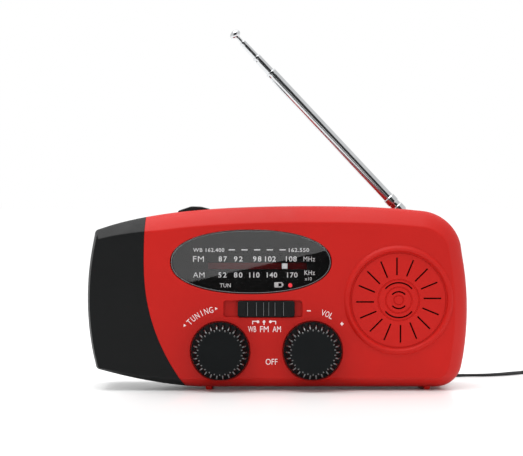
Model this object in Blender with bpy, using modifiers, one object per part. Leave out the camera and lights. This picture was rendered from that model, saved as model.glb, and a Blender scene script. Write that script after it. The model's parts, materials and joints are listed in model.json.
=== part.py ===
"""Palm-size emergency radio: crank generator, telescopic aerial, torch in one end.

+X is the right-hand side as the user faces it, +Y runs from the front to the back, +Z is up.
The origin is on the floor under the middle of the case.
Lengths are in millimetres; the helpers turn them into metres.
"""
import math

import bmesh
import bpy
from mathutils import Matrix, Vector

MM = 0.001
GAP = 0.3                      # clearance between pieces that touch

# Case
LEFT_X, RIGHT_X = -64.65, 64.72
FLOOR_GAP = 0.9                # the case stands this far off the floor, on four feet
FACE_Y = -18.0                 # front face of the case
BACK_Y = 18.0                  # rear face of the case
PART_Y = 5.0                   # front shell meets rear shell here
WALL = 2.0
RIM = [(0.0, 1.0), (1.2, 0.70), (3.4, 0.28), (6.5, 0.0)]  # depth, share of the rim's width left
RIM_LEFT, RIM_RIGHT, RIM_TOP, RIM_BOTTOM = 1.1, 4.75, 5.5, 3.4
CROWN = (62.43, -0.0177, -0.0754, -0.0059, -0.00196)  # top line: powers of (x - 14) / 10
KEEL = (1.34, 0.11, 0.0031)    # bottom line of the end cap: powers of the distance left of KEEL_X
KEEL_X = -32.7
JOINT_X, JOINT_Z = -45.25, 44.0  # the leftmost point of the red and black joint

# Aerial rebate along the top rear edge
REBATE_LEFT, REBATE_Y, REBATE_Z = -50.0, 8.0, 52.5

# Dial
DIAL = (-9.0, 43.6)
DIAL_HALF = (27.3, 10.9)
POINTER = (2.5, 42.1)

# Knobs, slider and button
TUNING = (-19.4, 13.4)
VOLUME = (11.9, 13.5)
KNOB_FRONT = -25.5
KNOB_RADIUS, KNOB_FACE_RADIUS, KNOB_RIBS = 9.7, 7.4, 26
SLIDER = (-3.8, 27.7)
SLIDER_SIZE = (19.3, 5.4)
SLIDER_FRONT = -18.9
SLOT_FLOOR = (-16.7, -16.0)    # front and back of the floor under the slider
BUTTON = (-28.5, -6.0)
RACK_MODULE, PINION_TEETH = 0.75, 16

# Speaker
SPEAKER = (41.0, 30.7)
SPEAKER_RIDGE = (17.0, 17.7)
SLOT_COUNT, SLOT_IN, SLOT_OUT = 16, 8.4, 14.4

# Crank and gear train
CRANK = (-18.0, 31.0)
GEAR_MODULE, WHEEL_TEETH, SMALL_TEETH = 0.6, 40, 16
BACKLASH = 0.25
ARM_IN, ARM_OUT = 18.4, 24.3
GRIP_X, GRIP_Y = 20.0, 21.35
GRIP_RADIUS = 3.1

# Aerial: distances are measured from the pivot along the mast
PIVOT = (47.7, 13.0, 56.4)
MAST_TILT = math.radians(46.8)
TUBE_END, SECOND_END, THIRD_END, ROD_END, TIP_END = 73.0, 80.4, 87.6, 89.2, 92.6

# Torch
TORCH_YZ = (0.0, 30.0)

# Sockets behind the rubber cover
COVER_X, COVER_Z = (32.8, 59.2), (18.0, 30.0)
USB_Z = 24.0

# Screws that join the shells (x, z)
SCREWS = [(-32.5, 12.0), (47.5, 10.0), (-38.5, 28.5), (56.5, 45.5)]

# Wrist strap
STRAP_BAR = (54.0, 16.4, 7.9)
STRAP_RADIUS = 0.45
COIL = (104.0, 56.5)
COIL_IN, COIL_OUT, COIL_TOP = 3.9, 8.1, 2.0
STRAND_A = [(53.2, 17.5, 7.9), (53.2, 20.0, 7.4), (53.6, 25.0, 4.6), (55.0, 31.0, 1.6),
            (58.4, 36.4, 0.5), (64.0, 39.0, 0.5), (71.0, 39.3, 0.5), (77.0, 40.7, 0.5),
            (82.5, 44.6, 0.5), (87.0, 48.9, 0.5), (91.5, 53.0, 0.5), (95.56, 56.1, 0.9)]
STRAND_B = [(54.8, 17.5, 7.9), (55.3, 20.3, 7.2), (56.8, 25.0, 4.2), (59.6, 31.0, 1.3),
            (63.5, 36.0, 0.5), (69.5, 37.9, 0.5), (76.0, 38.5, 0.5), (82.0, 40.6, 0.5),
            (87.5, 45.0, 0.5), (92.0, 50.0, 0.5), (96.25, 53.13, 0.9)]

# Looks: colour, roughness, metallic
LOOKS = {
    "red_shell": ((0.50, 0.022, 0.018), 0.45, 0.0),
    "black_shell": ((0.012, 0.013, 0.013), 0.5, 0.0),
    "black_knob": ((0.011, 0.012, 0.012), 0.5, 0.0),
    "clear_window": ((0.02, 0.02, 0.022), 0.08, 0.0),
    "scale_black": ((0.008, 0.008, 0.009), 0.5, 0.0),
    "scale_red": ((0.30, 0.01, 0.01), 0.5, 0.0),
    "pointer_white": ((0.85, 0.85, 0.82), 0.5, 0.0),
    "chrome": ((0.70, 0.70, 0.71), 0.12, 1.0),
    "steel": ((0.55, 0.55, 0.56), 0.35, 1.0),
    "copper": ((0.60, 0.28, 0.14), 0.4, 1.0),
    "board_green": ((0.02, 0.12, 0.04), 0.5, 0.0),
    "cell_blue": ((0.03, 0.10, 0.30), 0.45, 0.0),
    "ferrite": ((0.03, 0.03, 0.032), 0.6, 0.0),
    "paper_cone": ((0.05, 0.05, 0.048), 0.8, 0.0),
    "gear_white": ((0.75, 0.73, 0.68), 0.5, 0.0),
    "solar": ((0.01, 0.015, 0.04), 0.15, 0.0),
    "rubber": ((0.02, 0.02, 0.02), 0.7, 0.0),
    "led_white": ((0.85, 0.85, 0.80), 0.2, 0.0),
    "led_red": ((0.70, 0.03, 0.02), 0.25, 0.0),
    "strap_black": ((0.015, 0.015, 0.016), 0.75, 0.0),
}


def clear_scene():
    for thing in list(bpy.data.objects):
        bpy.data.objects.remove(thing, do_unlink=True)


def collection(name):
    group = bpy.data.collections.new(name)
    bpy.context.scene.collection.children.link(group)
    return group


def make_materials():
    made = {}
    for name, (colour, roughness, metallic) in LOOKS.items():
        material = bpy.data.materials.new(name)
        material.use_nodes = True
        shader = material.node_tree.nodes["Principled BSDF"]
        shader.inputs["Base Color"].default_value = (*colour, 1.0)
        shader.inputs["Roughness"].default_value = roughness
        shader.inputs["Metallic"].default_value = metallic
        made[name] = material
    return made


clear_scene()
PARTS = collection("emergency_radio")
CUTTERS = collection("cutters")
MATERIALS = make_materials()


# ---------------------------------------------------------------- objects

def place(name, data, look):
    """A new object in the parts collection, or a wire guide when it has no look."""
    thing = bpy.data.objects.new(name, data)
    if look is None:
        CUTTERS.objects.link(thing)
        thing.hide_render = True
        thing.display_type = "WIRE"
    else:
        PARTS.objects.link(thing)
        data.materials.append(MATERIALS[look])
    return thing


def finish_mesh(name, work, look):
    bmesh.ops.recalc_face_normals(work, faces=work.faces)
    mesh = bpy.data.meshes.new(name)
    work.to_mesh(mesh)
    work.free()
    return place(name, mesh, look)


def at(axis, along, first, second):
    """A point whose place along the axis and across it are given, in metres."""
    order = {"X": (along, first, second), "Y": (first, along, second), "Z": (first, second, along)}
    return Vector(order[axis]) * MM


def add_prism(work, outline, low, high, axis):
    corners = [work.verts.new(at(axis, low, a, b)) for a, b in outline]
    face = work.faces.new(corners)
    made = bmesh.ops.extrude_face_region(work, geom=[face])
    moved = [item for item in made["geom"] if isinstance(item, bmesh.types.BMVert)]
    bmesh.ops.translate(work, verts=moved, vec=at(axis, high - low, 0, 0))


def prisms(name, outlines, low, high, look=None, axis="Y"):
    work = bmesh.new()
    for outline in outlines:
        add_prism(work, outline, low, high, axis)
    return finish_mesh(name, work, look)


def prism(name, outline, low, high, look=None, axis="Y"):
    return prisms(name, [outline], low, high, look, axis)


def block(name, x, y, z, look=None):
    work = bmesh.new()
    bmesh.ops.create_cube(work, size=MM)
    size = (x[1] - x[0], y[1] - y[0], z[1] - z[0])
    middle = Vector(((x[0] + x[1]) / 2, (y[0] + y[1]) / 2, (z[0] + z[1]) / 2))
    bmesh.ops.scale(work, vec=size, verts=work.verts)
    bmesh.ops.translate(work, vec=middle * MM, verts=work.verts)
    return finish_mesh(name, work, look)


def grown(name, sections, look):
    """A solid extruded from its first outline through the others; each section is (y, outline)."""
    work = bmesh.new()
    y, outline = sections[0]
    ring = [work.verts.new(at("Y", y, a, b)) for a, b in outline]
    first = face = work.faces.new(ring)
    for y, outline in sections[1:]:
        made = bmesh.ops.extrude_face_region(work, geom=[face])["geom"]
        if face is not first:
            work.faces.remove(face)
        face = next(item for item in made if isinstance(item, bmesh.types.BMFace))
        copies = {tuple(item.co): item for item in made if isinstance(item, bmesh.types.BMVert)}
        ring = [copies[tuple(corner.co)] for corner in ring]
        for corner, (a, b) in zip(ring, outline):
            corner.co = at("Y", y, a, b)
    bmesh.ops.triangulate(work, faces=[side for side in work.faces if len(side.verts) == 4])
    return finish_mesh(name, work, look)


def rod(name, axis, low, high, centre, radius, look=None, sides=24):
    """A cylinder along an axis through centre, the two coordinates across it."""
    work = bmesh.new()
    bmesh.ops.create_cone(work, cap_ends=True, segments=sides, radius1=radius * MM,
                          radius2=radius * MM, depth=(high - low) * MM)
    bmesh.ops.transform(work, matrix=turn_to(axis), verts=work.verts)
    bmesh.ops.translate(work, vec=at(axis, (low + high) / 2, *centre), verts=work.verts)
    return finish_mesh(name, work, look)


def turn_to(axis):
    """The rotation that takes +Z to +X, +Y or +Z."""
    turns = {"X": Matrix.Rotation(math.pi / 2, 4, "Y"), "Z": Matrix.Identity(4),
             "Y": Matrix.Rotation(-math.pi / 2, 4, "X")}
    return turns[axis]


def turned(name, profile, axis, centre, look=None, sides=24, closed=False):
    """A turned piece: its profile is (radius, place along the axis), outer side from high to low."""
    mesh = bpy.data.meshes.new(name)
    corners = [(r * MM, 0.0, along * MM) for r, along in profile]
    edges = [(i, i + 1) for i in range(len(corners) - 1)]
    if closed:
        edges.append((len(corners) - 1, 0))
    mesh.from_pydata(corners, edges, [])
    thing = place(name, mesh, look)
    thing.matrix_world = Matrix.Translation(at(axis, 0, *centre)) @ turn_to(axis)
    screw = thing.modifiers.new("turn", "SCREW")
    screw.steps = sides
    screw.render_steps = sides
    screw.use_merge_vertices = True
    screw.merge_threshold = 0.00001
    return thing


def sleeve(name, axis, low, high, centre, outer, inner, look=None, sides=24):
    profile = [(outer, high), (outer, low), (inner, low), (inner, high)]
    return turned(name, profile, axis, centre, look, sides, closed=True)


def combine(target, tool, operation):
    change = target.modifiers.new(tool.name, "BOOLEAN")
    change.object = tool
    change.operation = operation
    change.solver = "EXACT"
    return target


def cut(target, *tools):
    for tool in tools:
        combine(target, tool, "DIFFERENCE")
    return target


def join(target, *tools):
    for tool in tools:
        combine(target, tool, "UNION")
    return target


def soften(thing, width, segments=1, angle=50):
    bevel = thing.modifiers.new("soften", "BEVEL")
    bevel.width = width * MM
    bevel.segments = segments
    bevel.limit_method = "ANGLE"
    bevel.angle_limit = math.radians(angle)
    return thing


# ---------------------------------------------------------------- outlines

def arc(centre, radii, start, end, steps):
    """Points on an ellipse's arc, from one angle to another in degrees."""
    points = []
    for i in range(steps + 1):
        angle = math.radians(start + (end - start) * i / steps)
        points.append((centre[0] + radii[0] * math.cos(angle), centre[1] + radii[1] * math.sin(angle)))
    return points


def superellipse(centre, half, power, sides):
    points = []
    for i in range(sides):
        angle = 2 * math.pi * i / sides
        c, s = math.cos(angle), math.sin(angle)
        x = math.copysign(abs(c) ** (2 / power), c) * half[0]
        z = math.copysign(abs(s) ** (2 / power), s) * half[1]
        points.append((centre[0] + x, centre[1] + z))
    return points


def rounded_box(x, z, radius, steps=4):
    points = []
    corners = [(x[1] - radius, z[1] - radius, 0), (x[0] + radius, z[1] - radius, 90),
               (x[0] + radius, z[0] + radius, 180), (x[1] - radius, z[0] + radius, 270)]
    for cx, cz, start in corners:
        points += arc((cx, cz), (radius, radius), start, start + 90, steps)
    return points


def power_sum(factors, x):
    return sum(factor * x ** power for power, factor in enumerate(factors))


def crown(x):
    return power_sum(CROWN, (x - 14) / 10)


def keel(x):
    return power_sum(KEEL, KEEL_X - x)


def joint(z):
    """The line where the red shells meet the black end: x for a height."""
    above, below = max(0.0, z - JOINT_Z), max(0.0, JOINT_Z - z)
    return JOINT_X + 0.0025 * above ** 2 + 0.00303 * below ** 2.25


def fillet(corner, start, end, radius, steps):
    """The arc that rounds a corner between two edges whose outward normals have these angles."""
    normals = [Vector((math.cos(math.radians(a)), math.sin(math.radians(a)))) for a in (start, end)]
    middle = Vector(corner) - radius * (normals[0] + normals[1]) / (1 + normals[0].dot(normals[1]))
    return arc(middle, (radius, radius), start, end, steps)


def left_end(z):
    return LEFT_X + 0.0052 * (z - 31) ** 2


def right_end(z):
    return RIGHT_X - 0.005 * (z - 27.5) ** 2


def case_outline(corner):
    """The case seen from the front, anticlockwise; corner is the radius at its left end."""
    points = fillet((59.9, 59.95), 14, 85, 15, 7)
    points += [(x, crown(x)) for x in (44, 34, 24, 14, 4, -6, -16, -26, -36, -46, -56)]
    points += fillet((-61.95, 54.27), 108, 169, corner, 4)
    points += [(left_end(z), z) for z in (45, 38, 31, 24, 17)]
    points += fillet((-61.6, 7.1), 194, 254, corner, 4)
    points += [(x, keel(x)) for x in (-54, -47, -40, -33)]
    points += [(x, FLOOR_GAP) for x in (-26, -10, 12, 34)]
    points += fillet((61.4, FLOOR_GAP), 270, 349, 9, 6)
    points += [(right_end(z), z) for z in (17, 26, 35, 43)]
    return points


def rim_step(points, share):
    """The outline drawn in by a share of the rim's width, which differs round the case."""
    moved = []
    count = len(points)
    for i in range(count):
        before, here, after = (Vector(points[(i + k) % count]) for k in (-1, 0, 1))
        along = (after - before).normalized()
        top = min(RIM_TOP, 3.5 + 0.1 * (here.x + 60))
        bottom = min(RIM_BOTTOM, 1.0 + 0.066 * (here.x + 60))
        reach_x = RIM_RIGHT if along.y > 0 else RIM_LEFT
        reach_z = top if along.x < 0 else bottom
        moved.append((here.x - share * reach_x * along.y, here.y + share * reach_z * along.x))
    return moved


def inset(points, amount):
    """The outline moved inward by an amount, for an anticlockwise outline."""
    moved = []
    count = len(points)
    for i in range(count):
        before, here, after = (Vector(points[(i + k) % count]) for k in (-1, 0, 1))
        first = (here - before).normalized()
        second = (after - here).normalized()
        normal = Vector((-(first.y + second.y), first.x + second.x)).normalized()
        lean = max(0.5, normal.dot(Vector((-first.y, first.x))))
        moved.append(tuple(here + normal * amount / lean))
    return moved


def involute(angle):
    return math.tan(angle) - angle


def gear_outline(centre, module, teeth, first_tooth):
    """Stub involute teeth with straight flanks; first_tooth is the angle of one tooth's middle."""
    pitch = module * teeth / 2
    base = pitch * math.cos(math.radians(20))
    root, tip = pitch - module, pitch + 0.8 * module
    half = math.pi / (2 * teeth) - BACKLASH / (2 * pitch)

    def half_width(radius):
        pressure = math.acos(min(1.0, base / max(radius, base)))
        return half + involute(math.radians(20)) - involute(pressure)

    points = []
    for tooth in range(teeth):
        middle = first_tooth + 2 * math.pi * tooth / teeth
        for radius, side in ((root, -1), (tip, -1), (tip, 1), (root, 1)):
            angle = middle + side * half_width(radius)
            points.append((centre[0] + radius * math.cos(angle), centre[1] + radius * math.sin(angle)))
    return points


# ---------------------------------------------------------------- case

def case_body(name, look=None):
    """The whole case: flat front and rear faces with sloping rims round them."""
    outline = case_outline(1.6)
    front = [(FACE_Y + depth, rim_step(outline, share)) for depth, share in RIM]
    rear = [(BACK_Y - depth, rim_step(outline, share)) for depth, share in reversed(RIM)]
    return grown(name, front + rear, look)


def case_cavity():
    hollow = prism("cavity", inset(case_outline(6.0), WALL), FACE_Y + WALL, BACK_Y - WALL)
    soften(hollow, 3.4, 1)
    wall = block("cavity_step", (REBATE_LEFT - WALL, 80), (REBATE_Y - WALL, 30), (REBATE_Z - WALL, 80))
    return cut(hollow, wall)


def joint_region(clearance):
    """All that lies right of the red and black joint, moved left by a clearance."""
    points = []
    for z in range(80, -11, -3):
        slope = (joint(z + 0.1) - joint(z - 0.1)) / 0.2
        points.append((joint(z) - clearance * math.hypot(1, slope), z))
    return points + [(90, -10), (90, 80)]


def shell(name, low, high, look):
    """One red shell: the case right of the joint and between two planes."""
    body = case_body(name, look)
    combine(body, prism(name + "_region", joint_region(-GAP / 2), low, high), "INTERSECT")
    return body


def slot_outline(centre, angle, inner, outer, width, shift):
    """A thin radial slot, moved sideways by shift, so that the slots form a pinwheel."""
    along = Vector((math.cos(angle), math.sin(angle)))
    across = Vector((-along.y, along.x))
    middle = Vector(centre) + across * shift
    corners = [(inner, -width / 2), (outer, -width / 2), (outer, width / 2), (inner, width / 2)]
    return [tuple(middle + along * a + across * b) for a, b in corners]


def band_outline(centre, radius, width, start, end):
    """A slot bent along a circle."""
    outer = arc(centre, (radius + width / 2,) * 2, start, end, 8)
    inner = arc(centre, (radius - width / 2,) * 2, end, start, 8)
    return outer + inner


def grille_cutter():
    slots = []
    for i in range(SLOT_COUNT):
        angle = 2 * math.pi * i / SLOT_COUNT
        slots.append(slot_outline(SPEAKER, angle, SLOT_IN, SLOT_OUT, 0.7, 0.6))
    for radius in (5.9, 2.85):
        for middle in (90, 270):
            slots.append(band_outline(SPEAKER, radius, 0.6, middle - 50, middle + 50))
    return prisms("grille_slots", slots, FACE_Y - 2, FACE_Y + WALL + 1)


def boss(name, x, z, low, high):
    return rod(name, "Y", low, high, (x, z), 3.0, sides=16)


def front_shell(cavity):
    body = shell("front_shell", FACE_Y - 5, PART_Y - GAP / 2, "red_shell")
    cut(body, cavity)
    cut(body, prism("dial_hole", superellipse(DIAL, DIAL_HALF, 2.2, 40), FACE_Y - 2, FACE_Y + 4))
    x, z = SLIDER
    recess = rounded_box((-18.2, 8.4), (24.85, 30.55), 0.9, 2)
    cut(body, prism("slider_recess", recess, FACE_Y - 2, SLOT_FLOOR[0]))
    cut(body, block("stem_slot", (x - 5.8, x + 3.6), (FACE_Y - 2, FACE_Y + 4), (z - 1.1, z + 1.1)))
    for name, centre in (("tuning", TUNING), ("volume", VOLUME)):
        cut(body, rod(name + "_well", "Y", FACE_Y - 2, FACE_Y + 0.8, centre, 10.2, sides=40))
        cut(body, rod(name + "_hole", "Y", FACE_Y - 2, FACE_Y + 4, centre, 3.4, sides=20))
    inner, outer = SPEAKER_RIDGE
    ring = [(inner + 0.6, FACE_Y + 1), (outer + 0.6, FACE_Y + 1), (outer + 0.6, FACE_Y - 0.3),
            (outer, FACE_Y - 0.7), (inner, FACE_Y - 0.7), (inner - 0.5, FACE_Y + 1)]
    join(body, turned("speaker_ring", ring[::-1], "Y", SPEAKER, None, 40, closed=True))
    cut(body, grille_cutter())
    cut(body, block("button_hole", (-34.3, -22.7), (-10.3, -1.7), (50, 70)))
    cut(body, block("panel_hole", (-18, 46), (-10.5, 3.5), (55, 70)))
    for i, (x, z) in enumerate(SCREWS, 1):
        join(body, boss(f"front_boss_{i}", x, z, FACE_Y + 1.2, PART_Y - GAP))
        cut(body, rod(f"pilot_{i}", "Y", -4, PART_Y + 1, (x, z), 1.6, sides=12))
    for i, x in enumerate((-23.3, 51.0), 1):
        join(body, rod(f"front_foot_{i}", "Z", 0, 2.0, (x, -12), 1.2, sides=12))
    return body


def rear_shell(cavity):
    body = shell("rear_shell", PART_Y + GAP / 2, BACK_Y + 5, "red_shell")
    cut(body, cavity)
    cut(body, rebate_cutter("rear_rebate"))
    for i, (x, z) in enumerate(SCREWS, 1):
        join(body, boss(f"rear_boss_{i}", x, z, PART_Y + GAP, BACK_Y - 1.2))
        cut(body, rod(f"screw_way_{i}", "Y", PART_Y - 1, BACK_Y + 1, (x, z), 1.6, sides=12))
        cut(body, rod(f"screw_sink_{i}", "Y", BACK_Y - 1, BACK_Y + 1, (x, z), 2.9, sides=16))
    cut(body, rod("crank_hole", "Y", 10, BACK_Y + 1, CRANK, 2.4, sides=20))
    cut(body, rod("aerial_hole", "Z", 45, 54, PIVOT[:2], 2.1, sides=16))
    cut(body, prism("socket_hole", rounded_box((34, 58), (19.5, 28.5), 1.5, 2), 10, 25))
    join(body, block("strap_block", (51, 57.0), (12.0, 16.1), (5.8, 10.6)))
    x, y, z = STRAP_BAR
    cut(body, block("strap_notch", (x - 2, x + 2), (y - 2, 22), (z - 1.9, z + 1.9)))
    cut(body, rod("strap_bore", "X", x - 2.8, x + 2.8, (y, z), 1.0, sides=12))
    for i, place_x in enumerate((-23.3, 51.0), 1):
        join(body, rod(f"rear_foot_{i}", "Z", 0, 2.0, (place_x, 12), 1.2, sides=12))
    return body


def rebate_cutter(name):
    return block(name, (REBATE_LEFT, 80), (REBATE_Y, 40), (REBATE_Z, 80))


def end_cap(cavity):
    body = case_body("end_cap", "black_shell")
    cut(body, prism("cap_region", joint_region(GAP / 2), FACE_Y - 5, BACK_Y + 5), cavity)
    cut(body, rebate_cutter("cap_rebate"))
    cut(body, rod("torch_hole", "X", -70, -58, TORCH_YZ, 9.0, sides=32))
    return body


def screws():
    for i, (x, z) in enumerate(SCREWS, 1):
        head = rod(f"shell_screw_{i}", "Y", 17.3, 17.95, (x, z), 2.5, "steel", 16)
        join(head, rod(f"shank_{i}", "Y", -3, 17.5, (x, z), 1.25, sides=10))
        cut(head, block(f"cross_a_{i}", (x - 1.3, x + 1.3), (17.6, 19), (z - 0.25, z + 0.25)))


# ---------------------------------------------------------------- torch

def torch():
    lens = [(0, -59.9), (10.2, -59.9), (10.2, -60.7), (8.7, -60.7), (8.7, -63.2), (0, -63.6)]
    turned("torch_lens", lens, "X", TORCH_YZ, "clear_window", 32)
    reflector = [(4.2, -54.4), (10.0, -59.6), (9.2, -59.6), (3.6, -55.2), (3.6, -54.4)]
    turned("torch_reflector", reflector, "X", TORCH_YZ, "chrome", 32, closed=True)
    for i in range(3):
        angle = math.pi / 2 + i * 2 * math.pi / 3
        centre = (TORCH_YZ[0] + 1.9 * math.cos(angle), TORCH_YZ[1] + 1.9 * math.sin(angle))
        rod(f"torch_led_{i + 1}", "X", -56.6, -54.2, centre, 1.3, "led_white", 12)
    rod("torch_board", "X", -53.9, -52.9, TORCH_YZ, 9.0, "board_green", 24)


def torch_switch():
    x, y = BUTTON
    outline = [(x - 5.5, 57.0), (x + 5.5, 57.0), (x + 5.5, 61.5), (x + 2.3, 62.3), (x - 1.0, 62.4),
               (x - 5.5, 60.9)]
    button = prism("torch_button", outline, y - 4, y + 4, "black_knob")
    soften(button, 0.4, 2)
    join(button, block("button_flange", (x - 6.5, x + 6.5), (y - 5, y + 5), (56.2, 57.4)))
    tact = block("torch_switch", (x - 4.5, x + 4.5), (y - 3, y + 3), (50.4, 53.8), "black_shell")
    join(tact, rod("tact_plunger", "Z", 53, 54.9, (x, y), 1.5, sides=12))


# ---------------------------------------------------------------- dial and tuning

def dial():
    pane = superellipse(DIAL, (27.0, 10.6), 2.2, 40)
    window = prism("dial_window", pane, FACE_Y + 0.1, FACE_Y + 3, "clear_window")
    flange = superellipse(DIAL, (29.3, 12.0), 2.2, 40)
    join(window, prism("window_flange", flange, FACE_Y + 2.3, FACE_Y + 3.3))
    plate = prism("dial_plate", superellipse(DIAL, (28.5, 11.8), 2.2, 40), -13.2, -12.4, "scale_black")
    cut(plate, block("scale_slot", (-23.7, 10.0), (-15, -10), (41.0, 43.2)))
    cut(plate, rod("led_hole", "Y", -15, -10, (4.4, 35.5), 0.95, sides=12))
    block("scale_strip", (-26.5, 13.0), (-8.7, -8.1), (39.5, 44.7), "scale_red")
    rod("charge_led", "Y", -13.6, -11.0, (4.4, 35.5), 0.7, "led_red", 12)


def pointer():
    """The white pointer, its arm and the rack that the tuning pinion drives."""
    x, z = POINTER
    flag = block("dial_pointer", (x - 0.95, x + 0.95), (-13.7, -9.1), (z - 0.9, z + 0.9),
                 "pointer_white")
    join(flag, block("pointer_arm", (x - 0.95, x + 0.95), (-9.9, -9.1), (20.5, z + 0.9)))
    join(flag, rack())
    return flag


def rack():
    """Straight teeth on the pinion's top, with a gap over its middle at rest."""
    module, pitch = RACK_MODULE, math.pi * RACK_MODULE
    line = TUNING[1] + module * PINION_TEETH / 2
    half = pitch / 4 - BACKLASH / 2
    lean = math.tan(math.radians(20)) * module
    root, tip = line + module, line - 0.8 * module
    outline = []
    for i in range(-3, 11):
        middle = TUNING[0] + pitch * (i + 0.5)
        outline += [(middle - half - lean, root), (middle - half + 0.8 * lean, tip),
                    (middle + half - 0.8 * lean, tip), (middle + half + lean, root)]
    outline += [(outline[-1][0], line + 3.0), (outline[0][0], line + 3.0)]
    return prism("rack_teeth", outline, -10.0, -8.0)


def knob(name, centre):
    """A tapered knob with ribs round it and a flat face."""
    work = bmesh.new()
    sides = 2 * KNOB_RIBS
    bmesh.ops.create_cone(work, cap_ends=True, segments=sides, radius1=KNOB_RADIUS * MM,
                          radius2=KNOB_FACE_RADIUS * MM, depth=7.0 * MM)
    ring = sorted(work.verts, key=lambda v: (round(v.co.z, 6), math.atan2(v.co.y, v.co.x)))
    for index, vert in enumerate(ring):
        if index % 2:
            vert.co.x *= 0.95
            vert.co.y *= 0.95
    bmesh.ops.transform(work, matrix=turn_to("Y") @ Matrix.Rotation(math.pi, 4, "X"), verts=work.verts)
    bmesh.ops.translate(work, vec=at("Y", KNOB_FRONT + 3.9, *centre), verts=work.verts)
    body = finish_mesh(name, work, "black_knob")
    join(body, rod(name + "_disc", "Y", KNOB_FRONT, KNOB_FRONT + 2, centre, 7.1, sides=32))
    cut(body, rod(name + "_bore", "Y", -21, -15, centre, 2.3, sides=16))
    return body


def tuning_drive():
    pitch_angle = math.pi / 2
    pinion = gear_outline(TUNING, RACK_MODULE, PINION_TEETH, pitch_angle)
    wheel = prism("tuning_shaft", pinion, -11.0, -7.0, "gear_white")
    join(wheel, rod("tuning_stem", "Y", -20.7, -1.5, TUNING, 2.0, sides=16))
    box = block("tuning_capacitor", (-27, -12), (-6.5, 3.5), (6, 21), "gear_white")
    cut(box, rod("capacitor_bore", "Y", -8, -1, TUNING, 2.3, sides=16))


def volume_drive():
    rod("volume_shaft", "Y", -20.7, -9.5, VOLUME, 2.0, "steel", 16)
    pot = rod("volume_pot", "Y", -13, -7.5, VOLUME, 4.7, "steel", 24)
    cut(pot, rod("pot_bore", "Y", -14, -9, VOLUME, 2.3, sides=16))


def band_parts():
    x, z = SLIDER
    half_x, half_z = SLIDER_SIZE[0] / 2, SLIDER_SIZE[1] / 2
    key = rounded_box((x - half_x, x + half_x), (z - half_z, z + half_z), 0.8, 2)
    slider = prism("band_slider", key, SLIDER_FRONT, SLOT_FLOOR[0] - GAP, "black_knob")
    ribs = []
    for i in range(8):
        middle = x + (i - 3.5) * 2.3
        low, high = SLIDER_FRONT - 0.6, SLIDER_FRONT + 0.5
        left, right = middle - 0.45, middle + 0.45
        ribs.append([(left, low), (right, low), (right, high), (left, high)])
    join(slider, block("slider_stem", (x - 1, x + 1), (-17.2, -12.6), (z - 0.8, z + 0.8)))
    join(slider, block("slider_collar", (x - 4, x + 4), (SLOT_FLOOR[1] + GAP, -14.6), (z - 2.2, z + 2.2)))
    cut(slider, prisms("slider_grooves", ribs, z - 5, z + 5, axis="Z"))
    switch = block("band_switch", (-15, 7.5), (-14.1, -10.5), (24.4, 31), "steel")
    cut(switch, block("switch_slot", (x - 6.1, x + 3.9), (-16, -12), (z - 1.1, z + 1.1)))


# ---------------------------------------------------------------- speaker, boards and power

def speaker():
    frame = [(9.2, -6.3), (16.4, -13.9), (17.5, -14.3), (17.5, -15.6), (15.6, -15.6),
             (15.6, -14.4), (8.6, -7.1), (3.4, -7.1), (3.4, -6.3)]
    turned("speaker_frame", frame, "Y", SPEAKER, "steel", 32, closed=True)
    cone = [(0, -8.6), (4.6, -8.6), (14.9, -14.4), (14.9, -14.9), (4.8, -9.4), (0, -10.2)]
    turned("speaker_cone", cone, "Y", SPEAKER, "paper_cone", 32)
    rod("speaker_magnet", "Y", -6.0, 1.0, SPEAKER, 9.0, "steel", 24)


def electronics():
    block("main_board", (-33, 28), (-5, -3.4), (23, 50), "board_green")
    rod("battery_cell", "X", -7, 43, (8.0, 10.4), 7.0, "cell_blue", 24)
    rod("ferrite_rod", "X", -20, 28, (2.0, 47.5), 2.6, "ferrite", 16)
    sleeve("aerial_coil", "X", -4, 12, (2.0, 47.5), 4.0, 2.9, "copper", 20)
    panel = block("solar_panel", (-17.7, 45.7), (-10.2, 3.2), (57.6, 60.8), "solar")
    join(panel, block("panel_flange", (-19, 47), (-11.5, 4.5), (57.6, 58.7)))
    block("socket_board", (33, 59), (3.2, 4.4), (18, 30), "board_green")


def sockets():
    port = block("usb_out_socket", (35.2, 48.2), (5.0, 16.2), (USB_Z - 2.9, USB_Z + 2.9), "steel")
    cut(port, block("usb_hollow", (35.6, 47.8), (7, 17), (USB_Z - 2.4, USB_Z + 2.4)))
    join(port, block("usb_tongue", (36.5, 46.9), (6.5, 15), (USB_Z - 0.2, USB_Z + 1.5)))
    small = block("charge_socket", (49.6, 57.1), (8.0, 16.2), (USB_Z - 1.3, USB_Z + 1.3), "steel")
    cut(small, block("charge_hollow", (50.0, 56.7), (10, 17), (USB_Z - 0.9, USB_Z + 0.9)))
    cover = prism("usb_cover", rounded_box(COVER_X, COVER_Z, 2.5, 3), 18.3, 19.7, "rubber")
    join(cover, prism("cover_plug", rounded_box((35, 57), (20.4, 27.4), 1.2, 2), 16.7, 18.6))


# ---------------------------------------------------------------- crank and gears

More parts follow.
